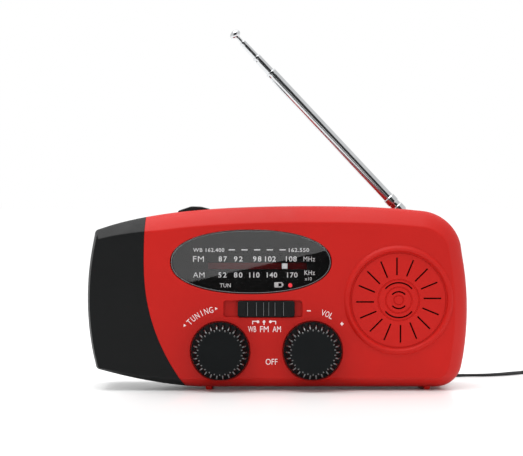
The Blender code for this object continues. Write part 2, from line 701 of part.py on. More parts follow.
def crank():
    x, z = CRANK
    end_x, half_hub, half_end = 24.0, 7.0, 6.3
    outline = arc((x, z), (half_hub, half_hub), 94, 266, 10)
    outline += arc((end_x, z), (half_end, half_end), -88, 88, 8)
    arm = prism("crank_arm", outline, ARM_IN, ARM_OUT, "black_shell")
    soften(arm, 0.9, 1)
    cut(arm, block("grip_slot", (-7, 24.5), (10, 30), (z - 3.6, z + 3.6)))
    cut(arm, rod("grip_pin_bore", "Z", z - 5.4, z + 5.4, (GRIP_X, GRIP_Y), 1.3, sides=12))
    cut(arm, rod("hub_bore", "Y", 10, 30, CRANK, 2.3, sides=16))
    screw = rod("crank_screw", "Y", 24.6, 25.5, CRANK, 3.2, "steel", 20)
    join(screw, rod("crank_screw_shank", "Y", 21.4, 24.8, CRANK, 1.4, sides=12))
    hinge = rod("grip_pin", "Z", z - 3.3, z + 3.3, (GRIP_X, GRIP_Y), 2.6, "steel", 16)
    join(hinge, rod("grip_stubs", "Z", z - 5.1, z + 5.1, (GRIP_X, GRIP_Y), 1.0, sides=12))
    join(hinge, rod("spindle", "X", -4.5, 19, (GRIP_Y, z), 1.2, sides=12))
    join(hinge, rod("spindle_head", "X", -5.3, -4.1, (GRIP_Y, z), 2.2, sides=16))
    sleeve("crank_grip", "X", -3.7, 16.8, (GRIP_Y, z), GRIP_RADIUS, 1.5, "black_knob", 20)


def gear_train():
    x, z = CRANK
    wheel_radius = GEAR_MODULE * WHEEL_TEETH / 2
    reach = wheel_radius + GEAR_MODULE * SMALL_TEETH / 2
    idler, rotor = (x + reach, z), (x + 2 * reach, z)
    drive_teeth = gear_outline(CRANK, GEAR_MODULE, WHEEL_TEETH, 0)
    drive = prism("crank_shaft", drive_teeth, 11, 13, "gear_white")
    join(drive, rod("crank_axle", "Y", 3.8, 21.0, CRANK, 2.0, sides=16))
    gap_angle = math.pi + math.pi / SMALL_TEETH
    idler_teeth = gear_outline(idler, GEAR_MODULE, SMALL_TEETH, gap_angle)
    middle = prism("idler_gear", idler_teeth, 9.0, 13.2, "gear_white")
    join(middle, prism("idler_wheel", gear_outline(idler, GEAR_MODULE, WHEEL_TEETH, 0), 7.4, 9.6))
    cut(middle, rod("idler_bore", "Y", 5, 15, idler, 1.3, sides=16))
    rod("idler_axle", "Y", 3.6, 15.6, idler, 1.0, "steel", 12)
    rotor_teeth = gear_outline(rotor, GEAR_MODULE, SMALL_TEETH, gap_angle)
    pinion = prism("generator_rotor", rotor_teeth, 7.2, 9.8, "gear_white")
    join(pinion, rod("rotor_shaft", "Y", 3.4, 10.6, rotor, 1.0, sides=12))
    can = rod("generator_body", "Y", -1.0, 6.6, rotor, 9.4, "steel", 28)
    cut(can, rod("can_bore", "Y", 2.9, 8, rotor, 1.3, sides=12))
    plate = block("gearbox_plate", (-25, 4.5), (4.4, 5.8), (24, 38), "gear_white")
    cut(plate, rod("plate_bore_a", "Y", 2, 8, CRANK, 2.3, sides=16))
    cut(plate, rod("plate_bore_b", "Y", 2, 8, idler, 1.3, sides=12))


# ---------------------------------------------------------------- aerial

def mast_matrix():
    """Takes +Z to the mast's direction, up and to the left, with the pivot at the origin."""
    lean = Matrix.Rotation(MAST_TILT - math.pi / 2, 4, "Y")
    return Matrix.Translation(Vector(PIVOT) * MM) @ lean


def mast_piece(name, profile, look, sides, closed=False):
    piece = turned(name, profile, "Z", (0, 0), look, sides, closed)
    piece.matrix_world = mast_matrix()
    return piece


def tube_profile(outer, inner, low, high):
    return [(outer, high), (outer, low), (inner, low), (inner, high)]


def aerial():
    x, y, z = PIVOT
    base = rod("antenna_base", "Z", REBATE_Z + GAP, REBATE_Z + 1.6, (x, y), 4.4, "chrome", 24)
    join(base, block("fork", (x - 2.6, x + 2.6), (y - 3.6, y + 3.6), (53.6, z + 2.4)))
    join(base, rod("rivet_stem", "Z", 49.6, 53.5, (x, y), 1.8, sides=16))
    join(base, rod("rivet_head", "Z", 48.8, 50.1, (x, y), 2.6, sides=16))
    cut(base, block("fork_slot", (x - 6, x + 6), (y - 2.2, y + 2.2), (53.9, 70)))
    cut(base, rod("fork_bore", "Y", y - 6, y + 6, (x, z), 1.2, sides=12))
    rod("antenna_pin", "Y", y - 3.9, y + 3.9, (x, z), 0.9, "steel", 12)
    tube = mast_piece("antenna_tube_1", tube_one_profile(), "chrome", 20)
    join(tube, rod("knuckle", "Y", y - 1.9, y + 1.9, (x, z), 2.1, sides=20))
    cut(tube, rod("knuckle_bore", "Y", y - 3, y + 3, (x, z), 1.2, sides=12))


def tube_one_profile():
    """The knuckle at the pivot, a ferrule with two collars, and the outer tube with its bore."""
    outer, bore = 1.95, 1.65
    return [(0, 12.2), (bore, 12.2), (bore, TUBE_END), (outer, TUBE_END), (outer, 12.2), (2.25, 12.0),
            (2.25, 9.8), (2.0, 9.5), (2.0, 8.2), (2.25, 7.9), (2.25, 5.6), (1.8, 5.0), (1.8, 1.5), (0, 1.5)]


def aerial_sections():
    mast_piece("antenna_tube_2", tube_profile(1.5, 1.27, 20.0, SECOND_END), "chrome", 16, True)
    mast_piece("antenna_tube_3", tube_profile(1.15, 0.82, 27.0, THIRD_END), "chrome", 16, True)
    tip = [(0, TIP_END), (1.3, TIP_END - 0.4), (2.0, TIP_END - 1.5), (1.6, TIP_END - 2.4),
           (0.65, ROD_END + 0.4), (0.65, 34.0), (0, 34.0)]
    mast_piece("antenna_tip", tip, "chrome", 16)


# ---------------------------------------------------------------- wrist strap

def smooth_route(points, spacing):
    """Points along a Catmull-Rom curve through the route's own points."""
    ends = [2 * Vector(points[0]) - Vector(points[1])] + [Vector(p) for p in points]
    ends.append(2 * ends[-1] - ends[-2])
    samples = []
    for i in range(1, len(ends) - 2):
        a, b, c, d = ends[i - 1:i + 3]
        steps = max(2, round((c - b).length / spacing))
        for k in range(steps):
            t = k / steps
            samples.append(0.5 * (2 * b + (c - a) * t + (2 * a - 5 * b + 4 * c - d) * t * t
                                  + (3 * b - a - 3 * c + d) * t ** 3))
    samples.append(Vector(points[-1]))
    for sample in samples:
        sample.z = max(sample.z, STRAP_RADIUS)
    return samples


def strand(name, points):
    curve = bpy.data.curves.new(name, "CURVE")
    curve.dimensions = "3D"
    curve.bevel_depth = STRAP_RADIUS * MM
    curve.bevel_resolution = 2
    curve.use_fill_caps = True
    samples = smooth_route(points, 2.2)
    spline = curve.splines.new("POLY")
    spline.points.add(len(samples) - 1)
    for point, sample in zip(spline.points, samples):
        point.co = (*(sample * MM), 1.0)
    return place(name, curve, "strap_black")


def strap():
    x, y, z = STRAP_BAR
    rod("strap_bar", "X", x - 2.6, x + 2.6, (y, z), 0.7, "steel", 12)
    strand("strap_strand_a", STRAND_A)
    strand("strap_strand_b", STRAND_B)
    sleeve("strap_coil", "Z", 0.05, COIL_TOP, COIL, COIL_OUT, COIL_IN, "strap_black", 24)


# ---------------------------------------------------------------- pivots

def pivot(name, location, *nodes):
    """An empty on a joint's axis, with the pieces that turn or slide there as its children."""
    empty = bpy.data.objects.new(name, None)
    empty.location = Vector(location) * MM
    empty.empty_display_size = 5 * MM
    PARTS.objects.link(empty)
    for node in nodes:
        piece = PARTS.objects[node]
        piece.parent = empty
        piece.matrix_parent_inverse = Matrix.Translation(-empty.location)


def pivots():
    crank_x, crank_z = CRANK
    reach = GEAR_MODULE * (WHEEL_TEETH + SMALL_TEETH) / 2
    pivot("tuning_axis", (TUNING[0], KNOB_FRONT, TUNING[1]), "tuning_knob", "tuning_shaft")
    pivot("pointer_start", (POINTER[0], -9.5, POINTER[1]), "dial_pointer")
    pivot("volume_axis", (VOLUME[0], KNOB_FRONT, VOLUME[1]), "volume_knob", "volume_shaft")
    pivot("band_start", (SLIDER[0], FACE_Y, SLIDER[1]), "band_slider")
    pivot("button_start", (*BUTTON, 60), "torch_button")
    pivot("crank_axis", (crank_x, 20, crank_z), "crank_arm", "crank_shaft", "crank_screw")
    pivot("grip_hinge", (GRIP_X, GRIP_Y, crank_z), "grip_pin", "crank_grip")
    pivot("idler_axis", (crank_x + reach, 10, crank_z), "idler_gear")
    pivot("rotor_axis", (crank_x + 2 * reach, 8.5, crank_z), "generator_rotor")
    pivot("cover_hinge", (46, 19, COVER_Z[0] - 0.4), "usb_cover")
    pivot("mast_pivot", PIVOT, "antenna_base", "antenna_pin", "antenna_tube_1", "antenna_tube_2",
          "antenna_tube_3", "antenna_tip")


def shade_smooth():
    """Smooth shading between sharp edges, for the round pieces."""
    for piece in PARTS.objects:
        if piece.type == "MESH" and piece.data.polygons:
            piece.data.shade_smooth()
            piece.data.set_sharp_from_angle(angle=math.radians(35))


def build():
    cavity = case_cavity()
    front_shell(cavity)
    rear_shell(cavity)
    end_cap(cavity)
    screws()
    torch()
    torch_switch()
    dial()
    pointer()
    knob("tuning_knob", TUNING)
    knob("volume_knob", VOLUME)
    tuning_drive()
    volume_drive()
    band_parts()
    speaker()
    electronics()
    sockets()
    crank()
    gear_train()
    aerial()
    aerial_sections()
    strap()
    pivots()
    shade_smooth()


build()
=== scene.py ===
import json
import math

import bmesh
import bpy
from mathutils import Matrix, Vector


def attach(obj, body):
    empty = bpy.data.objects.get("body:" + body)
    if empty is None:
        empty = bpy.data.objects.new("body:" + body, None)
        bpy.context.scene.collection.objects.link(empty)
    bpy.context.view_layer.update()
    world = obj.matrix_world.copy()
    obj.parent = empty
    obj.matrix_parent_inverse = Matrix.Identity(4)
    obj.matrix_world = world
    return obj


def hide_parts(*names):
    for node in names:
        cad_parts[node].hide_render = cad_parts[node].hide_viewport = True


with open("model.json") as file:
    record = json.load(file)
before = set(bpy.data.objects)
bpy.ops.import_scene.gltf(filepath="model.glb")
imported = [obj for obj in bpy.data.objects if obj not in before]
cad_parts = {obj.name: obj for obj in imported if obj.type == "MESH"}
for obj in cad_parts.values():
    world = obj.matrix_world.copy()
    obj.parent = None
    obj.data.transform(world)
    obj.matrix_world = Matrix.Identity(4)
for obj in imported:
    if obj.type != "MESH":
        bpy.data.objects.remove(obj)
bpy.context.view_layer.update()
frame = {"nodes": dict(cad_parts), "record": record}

# Lengths are in millimetres; the helpers turn them into metres, as in the CAD model.
MM = 0.001

# The case: its ends, faces and walls, the widths of its sloping rim, its top and bottom curves.
LEFT_X, RIGHT_X, FLOOR_GAP = -64.65, 64.72, 0.9
FACE_Y, BACK_Y, PART_Y, GAP, WALL = -18.0, 18.0, 5.0, 0.3, 2.0
RIM_LEFT, RIM_RIGHT, RIM_TOP, RIM_BOTTOM = 1.1, 4.75, 5.5, 3.4
CROWN = (62.43, -0.0177, -0.0754, -0.0059, -0.00196)
KEEL, KEEL_X = (1.34, 0.11, 0.0031), -32.7
JOINT_X, JOINT_Z, JOINT_GAP = -45.25, 44.0, 0.1
REBATE_LEFT, REBATE_Y, REBATE_Z = -50.0, 8.0, 52.5
FOOT_XS, FOOT_Y = (-23.3, 51.0), 12.0
SCREWS = [(-32.5, 12.0), (47.5, 10.0), (-38.5, 28.5), (56.5, 45.5)]

# What is on the case. A pair is x and z on the front or back, and three numbers are x, y and z.
DIAL, DIAL_HOLE, DIAL_GLASS, DIAL_FLANGE = (-9.0, 43.6), (27.3, 10.9), (27.0, 10.6), (29.3, 12.0)
DIAL_POWER, DIAL_PRINT_Y, INK = 2.2, -13.22, 0.015
TUNING, VOLUME, WELL_RADIUS = (-19.4, 13.4), (11.9, 13.5), 10.2
SLIDER, RECESS_X, RECESS_Z = (-3.8, 27.7), (-18.2, 8.4), (24.85, 30.55)
SPEAKER = (41.0, 30.7)
CRANK, GRIP_YZ = (-18.0, 31.0), (21.35, 31.0)
PIVOT, MAST_TILT = (47.7, 13.0, 56.4), math.radians(46.8)
TORCH_YZ = (0.0, 30.0)
CELL_LEFT, CELL_PITCH, CELLS = -16.6, 7.7, 8
COVER_X, COVER_Z, COVER_RADIUS = (32.8, 59.2), (18.0, 30.0), 2.5

# The strap: its bar, its thickness and the two strands that run out to the coil.
STRAP_BAR = (54.0, 16.4, 7.9)
STRAP_RADIUS = 0.45
COIL = (104.0, 56.5)
STRAND_A = [(53.2, 17.5, 7.9), (53.2, 20.0, 7.4), (53.6, 25.0, 4.6), (55.0, 31.0, 1.6),
            (58.4, 36.4, 0.5), (64.0, 39.0, 0.5), (71.0, 39.3, 0.5), (77.0, 40.7, 0.5),
            (82.5, 44.6, 0.5), (87.0, 48.9, 0.5), (91.5, 53.0, 0.5), (95.56, 56.1, 0.9)]
STRAND_B = [(54.8, 17.5, 7.9), (55.3, 20.3, 7.2), (56.8, 25.0, 4.2), (59.6, 31.0, 1.3),
            (63.5, 36.0, 0.5), (69.5, 37.9, 0.5), (76.0, 38.5, 0.5), (82.0, 40.6, 0.5),
            (87.5, 45.0, 0.5), (92.0, 50.0, 0.5), (96.25, 53.13, 0.9)]

RED, BLACK, PRINT = (0.445, 0.0062, 0.0032), (0.0042, 0.0048, 0.0051), (0.82, 0.70, 0.70)
TABLE_EDGE = 0.27      # how far the pale floor reaches in front of the radio, in metres
CAMERA_PLACE, CAMERA_LENS, CAMERA_DIP = (-0.0054, -0.718, 0.065), 142.6, 0.81      # m, mm, degrees


# ---- camera

def make_camera():
    data = bpy.data.cameras.new("camera")
    data.sensor_width = 36.0
    data.lens = CAMERA_LENS
    data.clip_end = 20.0
    camera = bpy.data.objects.new("camera", data)
    camera.location = CAMERA_PLACE
    camera.rotation_euler = (math.radians(90 - CAMERA_DIP), 0, 0)
    bpy.context.scene.collection.objects.link(camera)
    bpy.context.scene.camera = camera


# ---- materials

def socket_name(key):
    """Turns base_color into Base Color, and ior into IOR."""
    return key.replace("_", " ").title().replace("Ior", "IOR")


class Tree:
    """A material's node tree, with short calls for the nodes that the materials share."""

    def __init__(self, name):
        self.material = bpy.data.materials.new(name)
        self.material.use_nodes = True
        self.nodes = self.material.node_tree.nodes
        self.links = self.material.node_tree.links
        self.shader = self.nodes["Principled BSDF"]
        self.place = self.nodes.new("ShaderNodeTexCoord").outputs["Object"]

    def add(self, kind, output, sources, settings=(), **values):
        """A new node with its links, settings and socket values; returns one of its outputs."""
        node = self.nodes.new("ShaderNode" + kind)
        for name, setting in settings:
            setattr(node, name, setting)
        for key, value in values.items():
            node.inputs[socket_name(key)].default_value = value
        for socket, source in sources.items():
            self.links.new(source, node.inputs[socket])
        return node.outputs[output]

    def wire(self, **outputs):
        for key, output in outputs.items():
            self.links.new(output, self.shader.inputs[socket_name(key)])

    def set(self, **values):
        for key, value in values.items():
            self.shader.inputs[socket_name(key)].default_value = value

    def noise(self, scale, detail=3.0, roughness=0.5, stretch=None):
        place = self.place
        if stretch is not None:
            place = self.add("Mapping", "Vector", {"Vector": place}, scale=stretch)
        return self.add("TexNoise", "Fac", {"Vector": place}, scale=scale, detail=detail, roughness=roughness)

    def cells(self, scale, feature="F1"):
        return self.add("TexVoronoi", "Distance", {"Vector": self.place}, [("feature", feature)], scale=scale)

    def ramp(self, factor, low, high, start=0.3, end=0.7):
        """Turns a factor into a colour between two, over part of its range."""
        ramp = self.nodes.new("ShaderNodeValToRGB")
        for stop, position, colour in zip(ramp.color_ramp.elements, (start, end), (low, high)):
            stop.position = position
            stop.color = (*colour, 1)
        self.links.new(factor, ramp.inputs["Fac"])
        return ramp.outputs["Color"]

    def mix(self, factor, first, second):
        """Mixes two colours; a Mix node's colour sockets are inputs 6 and 7 and output 2."""
        return self.add("Mix", 2, {"Factor": factor, 6: first, 7: second}, [("data_type", "RGBA")])

    def spread(self, factor, low, high):
        """Maps a factor from 0.3 to 0.7 onto a range of numbers."""
        return self.add("MapRange", "Result", {"Value": factor}, from_min=0.3, from_max=0.7,
                        to_min=low, to_max=high)

    def bump(self, height, strength, distance_mm, under=None):
        sources = {"Height": height} if under is None else {"Height": height, "Normal": under}
        return self.add("Bump", "Normal", sources, strength=strength, distance=distance_mm * MM)


def tone(colour, factor):
    return tuple(min(1.0, c * factor) for c in colour)


def plastic(name, colour, rough, grain=3200, bump=0.05, vary=0.06, **more):
    """Moulded plastic: fine grain, a slight drift of colour, uneven gloss and rubbed patches."""
    tree = Tree(name)
    drift = tree.noise(22, 4)
    rubbed = tree.noise(90, 6, 0.65)
    base = tree.ramp(drift, tone(colour, 1 - vary), tone(colour, 1 + vary))
    worn = tree.ramp(drift, tone(colour, 1 - vary / 2), tone(colour, 1 + 1.6 * vary))
    fine = tree.bump(tree.noise(grain, 2), bump, 0.12)
    tree.wire(base_color=tree.mix(tree.ramp(rubbed, (0, 0, 0), (1, 1, 1), 0.52, 0.74), base, worn),
              roughness=tree.spread(rubbed, rough - 0.05, rough + 0.06),
              normal=tree.bump(tree.noise(240, 3), bump * 0.5, 0.2, fine))
    tree.set(**more)
    return tree.material


def metal(name, colour, rough, stretch=(1, 1, 1), bump=0.02):
    """Plated or drawn metal: faint drawing marks, smudges and slight tarnish."""
    tree = Tree(name)
    smudge = tree.noise(120, 5, 0.6)
    tree.wire(base_color=tree.ramp(smudge, tone(colour, 0.88), tone(colour, 1.04)),
              roughness=tree.spread(smudge, max(0.03, rough - 0.04), rough + 0.08),
              normal=tree.bump(tree.noise(900, 3, 0.6, stretch), bump, 0.05))
    tree.set(metallic=1.0)
    return tree.material


def see_through(name, colour, alpha, ior, rough=0.03):
    """Clear or smoked plastic seen through: a faint haze, a few wipe marks and a hard gloss."""
    tree = Tree(name)
    haze = tree.noise(160, 5, 0.6, (1, 1, 2.4))
    tree.wire(base_color=tree.ramp(haze, tone(colour, 0.9), tone(colour, 1.12)),
              roughness=tree.spread(haze, 0.5 * rough, 1.4 * rough),
              normal=tree.bump(tree.noise(60, 2), 0.01, 0.05))
    tree.set(alpha=alpha, ior=ior)
    return tree.material


def solar_material():
    tree = Tree("solar_cells")
    crystal = tree.cells(420)
    tree.wire(base_color=tree.ramp(crystal, (0.006, 0.010, 0.030), (0.014, 0.022, 0.060), 0.1, 0.6),
              roughness=tree.spread(tree.noise(90, 4), 0.22, 0.32), normal=tree.bump(crystal, 0.04, 0.05))
    tree.set(coat_weight=1.0, coat_roughness=0.05)
    return tree.material


def braid_material():
    tree = Tree("strap_braid")
    plait = tree.add("TexWave", "Fac", {"Vector": tree.place}, [("bands_direction", "DIAGONAL")], scale=520,
                     distortion=1.5)
    fine = tree.bump(tree.noise(4200, 3), 0.2, 0.05)
    tree.wire(base_color=tree.ramp(plait, (0.004, 0.004, 0.0045), (0.013, 0.013, 0.014), 0.2, 0.8),
              roughness=tree.spread(tree.noise(900, 3), 0.6, 0.85), normal=tree.bump(plait, 0.6, 0.12, fine))
    tree.set(sheen_weight=0.06, specular_ior_level=0.3)
    return tree.material


def cone_material():
    tree = Tree("paper_cone")
    fibre = tree.noise(1500, 6, 0.7)
    tree.wire(base_color=tree.ramp(fibre, (0.018, 0.018, 0.018), (0.045, 0.044, 0.042)),
              roughness=tree.spread(fibre, 0.8, 0.95), normal=tree.bump(fibre, 0.5, 0.15))
    return tree.material


def board_material():
    tree = Tree("solder_mask")
    tracks = tree.cells(300, "DISTANCE_TO_EDGE")
    tree.wire(base_color=tree.ramp(tracks, (0.020, 0.16, 0.06), (0.008, 0.075, 0.03), 0.02, 0.06),
              roughness=tree.spread(tree.noise(400, 3), 0.3, 0.45), normal=tree.bump(tracks, 0.2, 0.03))
    return tree.material


def make_materials():
    look = {
        "red_shell": plastic("red_case", RED, 0.45, specular_ior_level=0.19),
        "black_shell": plastic("black_case", BLACK, 0.5, vary=0.12, specular_ior_level=0.2),
        "black_knob": plastic("black_knob", tone(BLACK, 0.8), 0.24, bump=0.02, vary=0.12,
                              specular_ior_level=0.4),
        "knob_face": plastic("knob_face", tone(BLACK, 1.6), 0.55, vary=0.2, specular_ior_level=0.05),
        # Lighter grey than the knob plastic, as a painted highlight on the knobs' rib crests, with a real
        # gloss.
        "crest_highlight": plastic("crest_highlight", (0.045, 0.046, 0.047), 0.3, bump=0.02, vary=0.1, ior=1.9),
        # Lighter grey than the key's black plastic, as a painted highlight on the slider's ridges, with a
        # real gloss.
        "ridge_highlight": plastic("ridge_highlight", (0.10, 0.102, 0.104), 0.2, bump=0.02, vary=0.1),
        "clear_window": see_through("smoked_window", (0.004, 0.004, 0.004), 0.14, 3.2, 0.008),
        "torch_clear": see_through("torch_clear", (0.55, 0.58, 0.58), 0.18, 1.9),
        "scale_black": plastic("scale_black", (0.004, 0.004, 0.004), 0.6, 5000, 0.02, 0.1,
                               specular_ior_level=0.04),
        "scale_red": plastic("scale_red", (0.30, 0.008, 0.010), 0.6, 5000, 0.02, 0.08,
                             specular_ior_level=0.04),
        # The window's edge ring is light grey as a painted highlight: it stands for light caught in the clear
        # pane's bevel.
        "window_edge_highlight": plastic("window_edge_highlight", (0.15, 0.155, 0.16), 0.25, 3000, 0.02, 0.08),
        "pointer_white": plastic("pointer_white", (0.86, 0.87, 0.89), 0.4, 5000, 0.02, 0.03),
        "print_white": plastic("scale_print", (0.92, 0.93, 0.94), 0.5, 6000, 0.02, 0.03),
        "case_print": plastic("case_print", PRINT, 0.55, 6000, 0.04, 0.06),
        "chrome": metal("chrome_plate", (0.56, 0.57, 0.58), 0.09, bump=0.012),
        "steel": metal("zinc_steel", (0.55, 0.55, 0.54), 0.33, (1, 9, 1), 0.08),
        "copper": metal("enamelled_wire", (0.60, 0.26, 0.12), 0.35, (30, 1, 1), 0.3),
        "board_green": board_material(),
        "cell_blue": plastic("cell_sleeve", (0.02, 0.09, 0.28), 0.3, 2500, 0.03, 0.05),
        "ferrite": plastic("ferrite", (0.022, 0.022, 0.024), 0.6, 1800, 0.2, 0.15),
        "paper_cone": cone_material(),
        "gear_white": plastic("acetal", (0.62, 0.60, 0.54), 0.4, 2600, 0.05, 0.04),
        "solar": solar_material(),
        "rubber": plastic("rubber", (0.016, 0.016, 0.016), 0.72, 2400, 0.12, 0.14),
        "led_white": see_through("led_clear", (0.75, 0.76, 0.72), 0.6, 1.6),
        "led_red": plastic("led_red", (0.75, 0.03, 0.03), 0.2, 3000, 0.01, 0.05),
        "strap_black": braid_material(),
    }
    glow = look["led_red"].node_tree.nodes["Principled BSDF"]
    glow.inputs["Emission Color"].default_value = (1.0, 0.05, 0.08, 1)
    glow.inputs["Emission Strength"].default_value = 0.8
    return look


# ---- mesh helpers

def link(name, data):
    thing = bpy.data.objects.new(name, data)
    bpy.context.scene.collection.objects.link(thing)
    return thing


def at(axis, along, first, second):
    order = {"X": (along, first, second), "Y": (first, along, second), "Z": (first, second, along)}
    return Vector(order[axis]) * MM


def from_bmesh(name, work):
    bmesh.ops.recalc_face_normals(work, faces=work.faces)
    mesh = bpy.data.meshes.new(name)
    work.to_mesh(mesh)
    work.free()
    return link(name, mesh)


def skin(work, loops, closed):
    """Faces between neighbouring loops; they are triangles where a loop is one point."""
    for low, high in list(zip(loops, loops[1:])) + ([(loops[-1], loops[0])] if closed else []):
        for i in range(len(low)):
            j = (i + 1) % len(low)
            work.faces.new(list(dict.fromkeys((low[i], low[j], high[j], high[i]))))


def layers(name, rings, closed=False):
    """A skin through rings of equal count; each ring is (y, outline)."""
    work = bmesh.new()
    loops = [[work.verts.new(at("Y", y, a, b)) for a, b in outline] for y, outline in rings]
    skin(work, loops, closed)
    if not closed:
        work.faces.new(loops[0])
        work.faces.new(loops[-1])
    return from_bmesh(name, work)


def prisms(name, outlines, low, high, axis="Y"):
    work = bmesh.new()
    for outline in outlines:
        face = work.faces.new([work.verts.new(at(axis, low, a, b)) for a, b in outline])
        grown = bmesh.ops.extrude_face_region(work, geom=[face])
        moved = [item for item in grown["geom"] if isinstance(item, bmesh.types.BMVert)]
        bmesh.ops.translate(work, verts=moved, vec=at(axis, high - low, 0, 0))
    return from_bmesh(name, work)


def prism(name, outline, low, high, axis="Y"):
    return prisms(name, [outline], low, high, axis)


def block(name, x, y, z):
    corners = [(x[0], z[0]), (x[1], z[0]), (x[1], z[1]), (x[0], z[1])]
    return prism(name, corners, y[0], y[1])


def run(start, end, count):
    """Evenly spaced numbers, both ends among them."""
    return [start + (end - start) * i / (count - 1) for i in range(count)]


def arc(centre, radii, start, end, steps):
    points = []
    for i in range(steps + 1):
        angle = math.radians(start + (end - start) * i / steps)
        points.append((centre[0] + radii[0] * math.cos(angle), centre[1] + radii[1] * math.sin(angle)))
    return points


def circle(centre, radius, sides):
    return arc(centre, (radius, radius), 0, 360, sides)[:-1]


def rounded_box(x, z, radius, steps=6):
    points = []
    corners = [(x[1] - radius, z[1] - radius, 0), (x[0] + radius, z[1] - radius, 90),
               (x[0] + radius, z[0] + radius, 180), (x[1] - radius, z[0] + radius, 270)]
    for cx, cz, start in corners:
        points += arc((cx, cz), (radius, radius), start, start + 90, steps)
    return points


def eased(points, radius, steps=4, closed=False):
    """A profile with its corners rounded."""
    result = []
    count = len(points)
    for i, point in enumerate(points):
        here = Vector(point)
        if not closed and i in (0, count - 1):
            result.append(tuple(here))
            continue
        before, after = Vector(points[i - 1]), Vector(points[(i + 1) % count])
        back = min(radius, 0.45 * (before - here).length)
        on = min(radius, 0.45 * (after - here).length)
        start = here + (before - here).normalized() * back
        end = here + (after - here).normalized() * on
        for k in range(steps + 1):
            t = k / steps
            result.append(tuple(start * (1 - t) ** 2 + here * 2 * t * (1 - t) + end * t ** 2))
    return result


def lathe(name, profile, axis="Y", centre=(0, 0), sides=64, closed=False):
    """A turned piece from (radius, place along the axis) points."""
    work = bmesh.new()
    loops = []
    for radius, along in profile:
        if radius < 1e-6:
            loops.append([work.verts.new(at(axis, along, *centre))] * sides)
        else:
            loops.append([work.verts.new(at(axis, along, a, b)) for a, b in circle(centre, radius, sides)])
    skin(work, loops, closed)
    return from_bmesh(name, work)


def change(target, tool, operation="DIFFERENCE"):
    modifier = target.modifiers.new(tool.name, "BOOLEAN")
    modifier.object = tool
    modifier.operation = operation
    modifier.solver = "EXACT"


def cut(target, *tools):
    for tool in tools:
        change(target, tool)


def join(target, *tools):
    for tool in tools:
        change(target, tool, "UNION")


def soften(thing, width, segments=3, angle=40):
    bevel = thing.modifiers.new("soften", "BEVEL")
    bevel.width = width * MM
    bevel.segments = segments
    bevel.limit_method = "ANGLE"
    bevel.angle_limit = math.radians(angle)
    return thing


def fresh_graph():
    graph = bpy.context.evaluated_depsgraph_get()
    graph.update()
    return graph


def final_mesh(thing, graph):
    """An object's shape with its modifiers applied."""
    return bpy.data.meshes.new_from_object(thing.evaluated_get(graph), depsgraph=graph)


def settle(thing, sharp=35):
    """Applies a piece's modifiers, shades it smooth between sharp edges and keeps flat faces flat."""
    mesh = final_mesh(thing, fresh_graph())
    mesh.transform(thing.matrix_world)
    thing.matrix_world = Matrix.Identity(4)
    tools = [m.object for m in thing.modifiers if m.type == "BOOLEAN"]
    thing.modifiers.clear()
    thing.data = mesh
    mesh.shade_smooth()
    mesh.set_sharp_from_angle(angle=math.radians(sharp))
    weigh = thing.modifiers.new("weigh", "WEIGHTED_NORMAL")
    weigh.keep_sharp = True
    return tools


def drop(tools):
    for tool in set(tools):
        bpy.data.objects.remove(tool, do_unlink=True)


def bake(thing):
    """Applies a shape's modifiers and leaves none on it."""
    drop(settle(thing))
    thing.modifiers.clear()
    return thing


def finish_piece(thing, look, body, *nodes, sharp=35, slot=None):
    """Settles a piece, gives it its look and body, and lets it stand for CAD nodes."""
    drop(settle(thing, sharp))
    thing.data.materials.clear()
    thing.data.materials.append(LOOK[look])
    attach(thing, body)
    if nodes:
        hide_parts(*nodes)
    return thing


def merge(name, things):
    """One object from several separate shapes."""
    work = bmesh.new()
    graph = fresh_graph()
    for thing in things:
        mesh = final_mesh(thing, graph)
        mesh.transform(thing.matrix_world)
        work.from_mesh(mesh)
        bpy.data.meshes.remove(mesh)
    for thing in things:
        bpy.data.objects.remove(thing, do_unlink=True)
    mesh = bpy.data.meshes.new(name)
    work.to_mesh(mesh)
    work.free()
    return link(name, mesh)


# ---- case

def power_sum(factors, x):
    return sum(factor * x ** power for power, factor in enumerate(factors))


def crown(x):
    return power_sum(CROWN, (x - 14) / 10)


def keel(x):
    return power_sum(KEEL, KEEL_X - x)


def joint(z):
    """The line where the red shells meet the black end: x for a height."""
    above, below = max(0.0, z - JOINT_Z), max(0.0, JOINT_Z - z)
    return JOINT_X + 0.0025 * above ** 2 + 0.00303 * below ** 2.25


def fillet(corner, start, end, radius, steps):
    """The arc that rounds a corner between two edges whose outward normals have these angles."""
    normals = [Vector((math.cos(math.radians(a)), math.sin(math.radians(a)))) for a in (start, end)]
    middle = Vector(corner) - radius * (normals[0] + normals[1]) / (1 + normals[0].dot(normals[1]))
    return arc(middle, (radius, radius), start, end, steps)


def neighbours(points):
    """Each point of a closed outline, between the one before it and the one after it."""
    count = len(points)
    for i in range(count):
        yield [Vector(points[(i + k) % count]) for k in (-1, 0, 1)]


def left_end(z):
    return LEFT_X + 0.0052 * (z - 31) ** 2


def right_end(z):
    return RIGHT_X - 0.005 * (z - 27.5) ** 2


def case_outline(corner):
    """The case seen from the front, anticlockwise; corner is the radius at its left end."""
    points = fillet((59.9, 59.95), 14, 85, 15, 24)
    points += [(x, crown(x)) for x in run(46, -56, 36)]
    points += fillet((-61.95, 54.27), 108, 169, corner, 12)
    points += [(left_end(z), z) for z in run(48, 12.5, 15)]
    points += fillet((-61.6, 7.1), 194, 254, corner, 12)
    points += [(x, keel(x)) for x in run(-56, -31, 10)]
    points += [(x, FLOOR_GAP) for x in run(-26, 50, 14)]
    points += fillet((61.4, FLOOR_GAP), 270, 349, 9, 20)
    points += [(right_end(z), z) for z in run(12, 46, 10)]
    return points


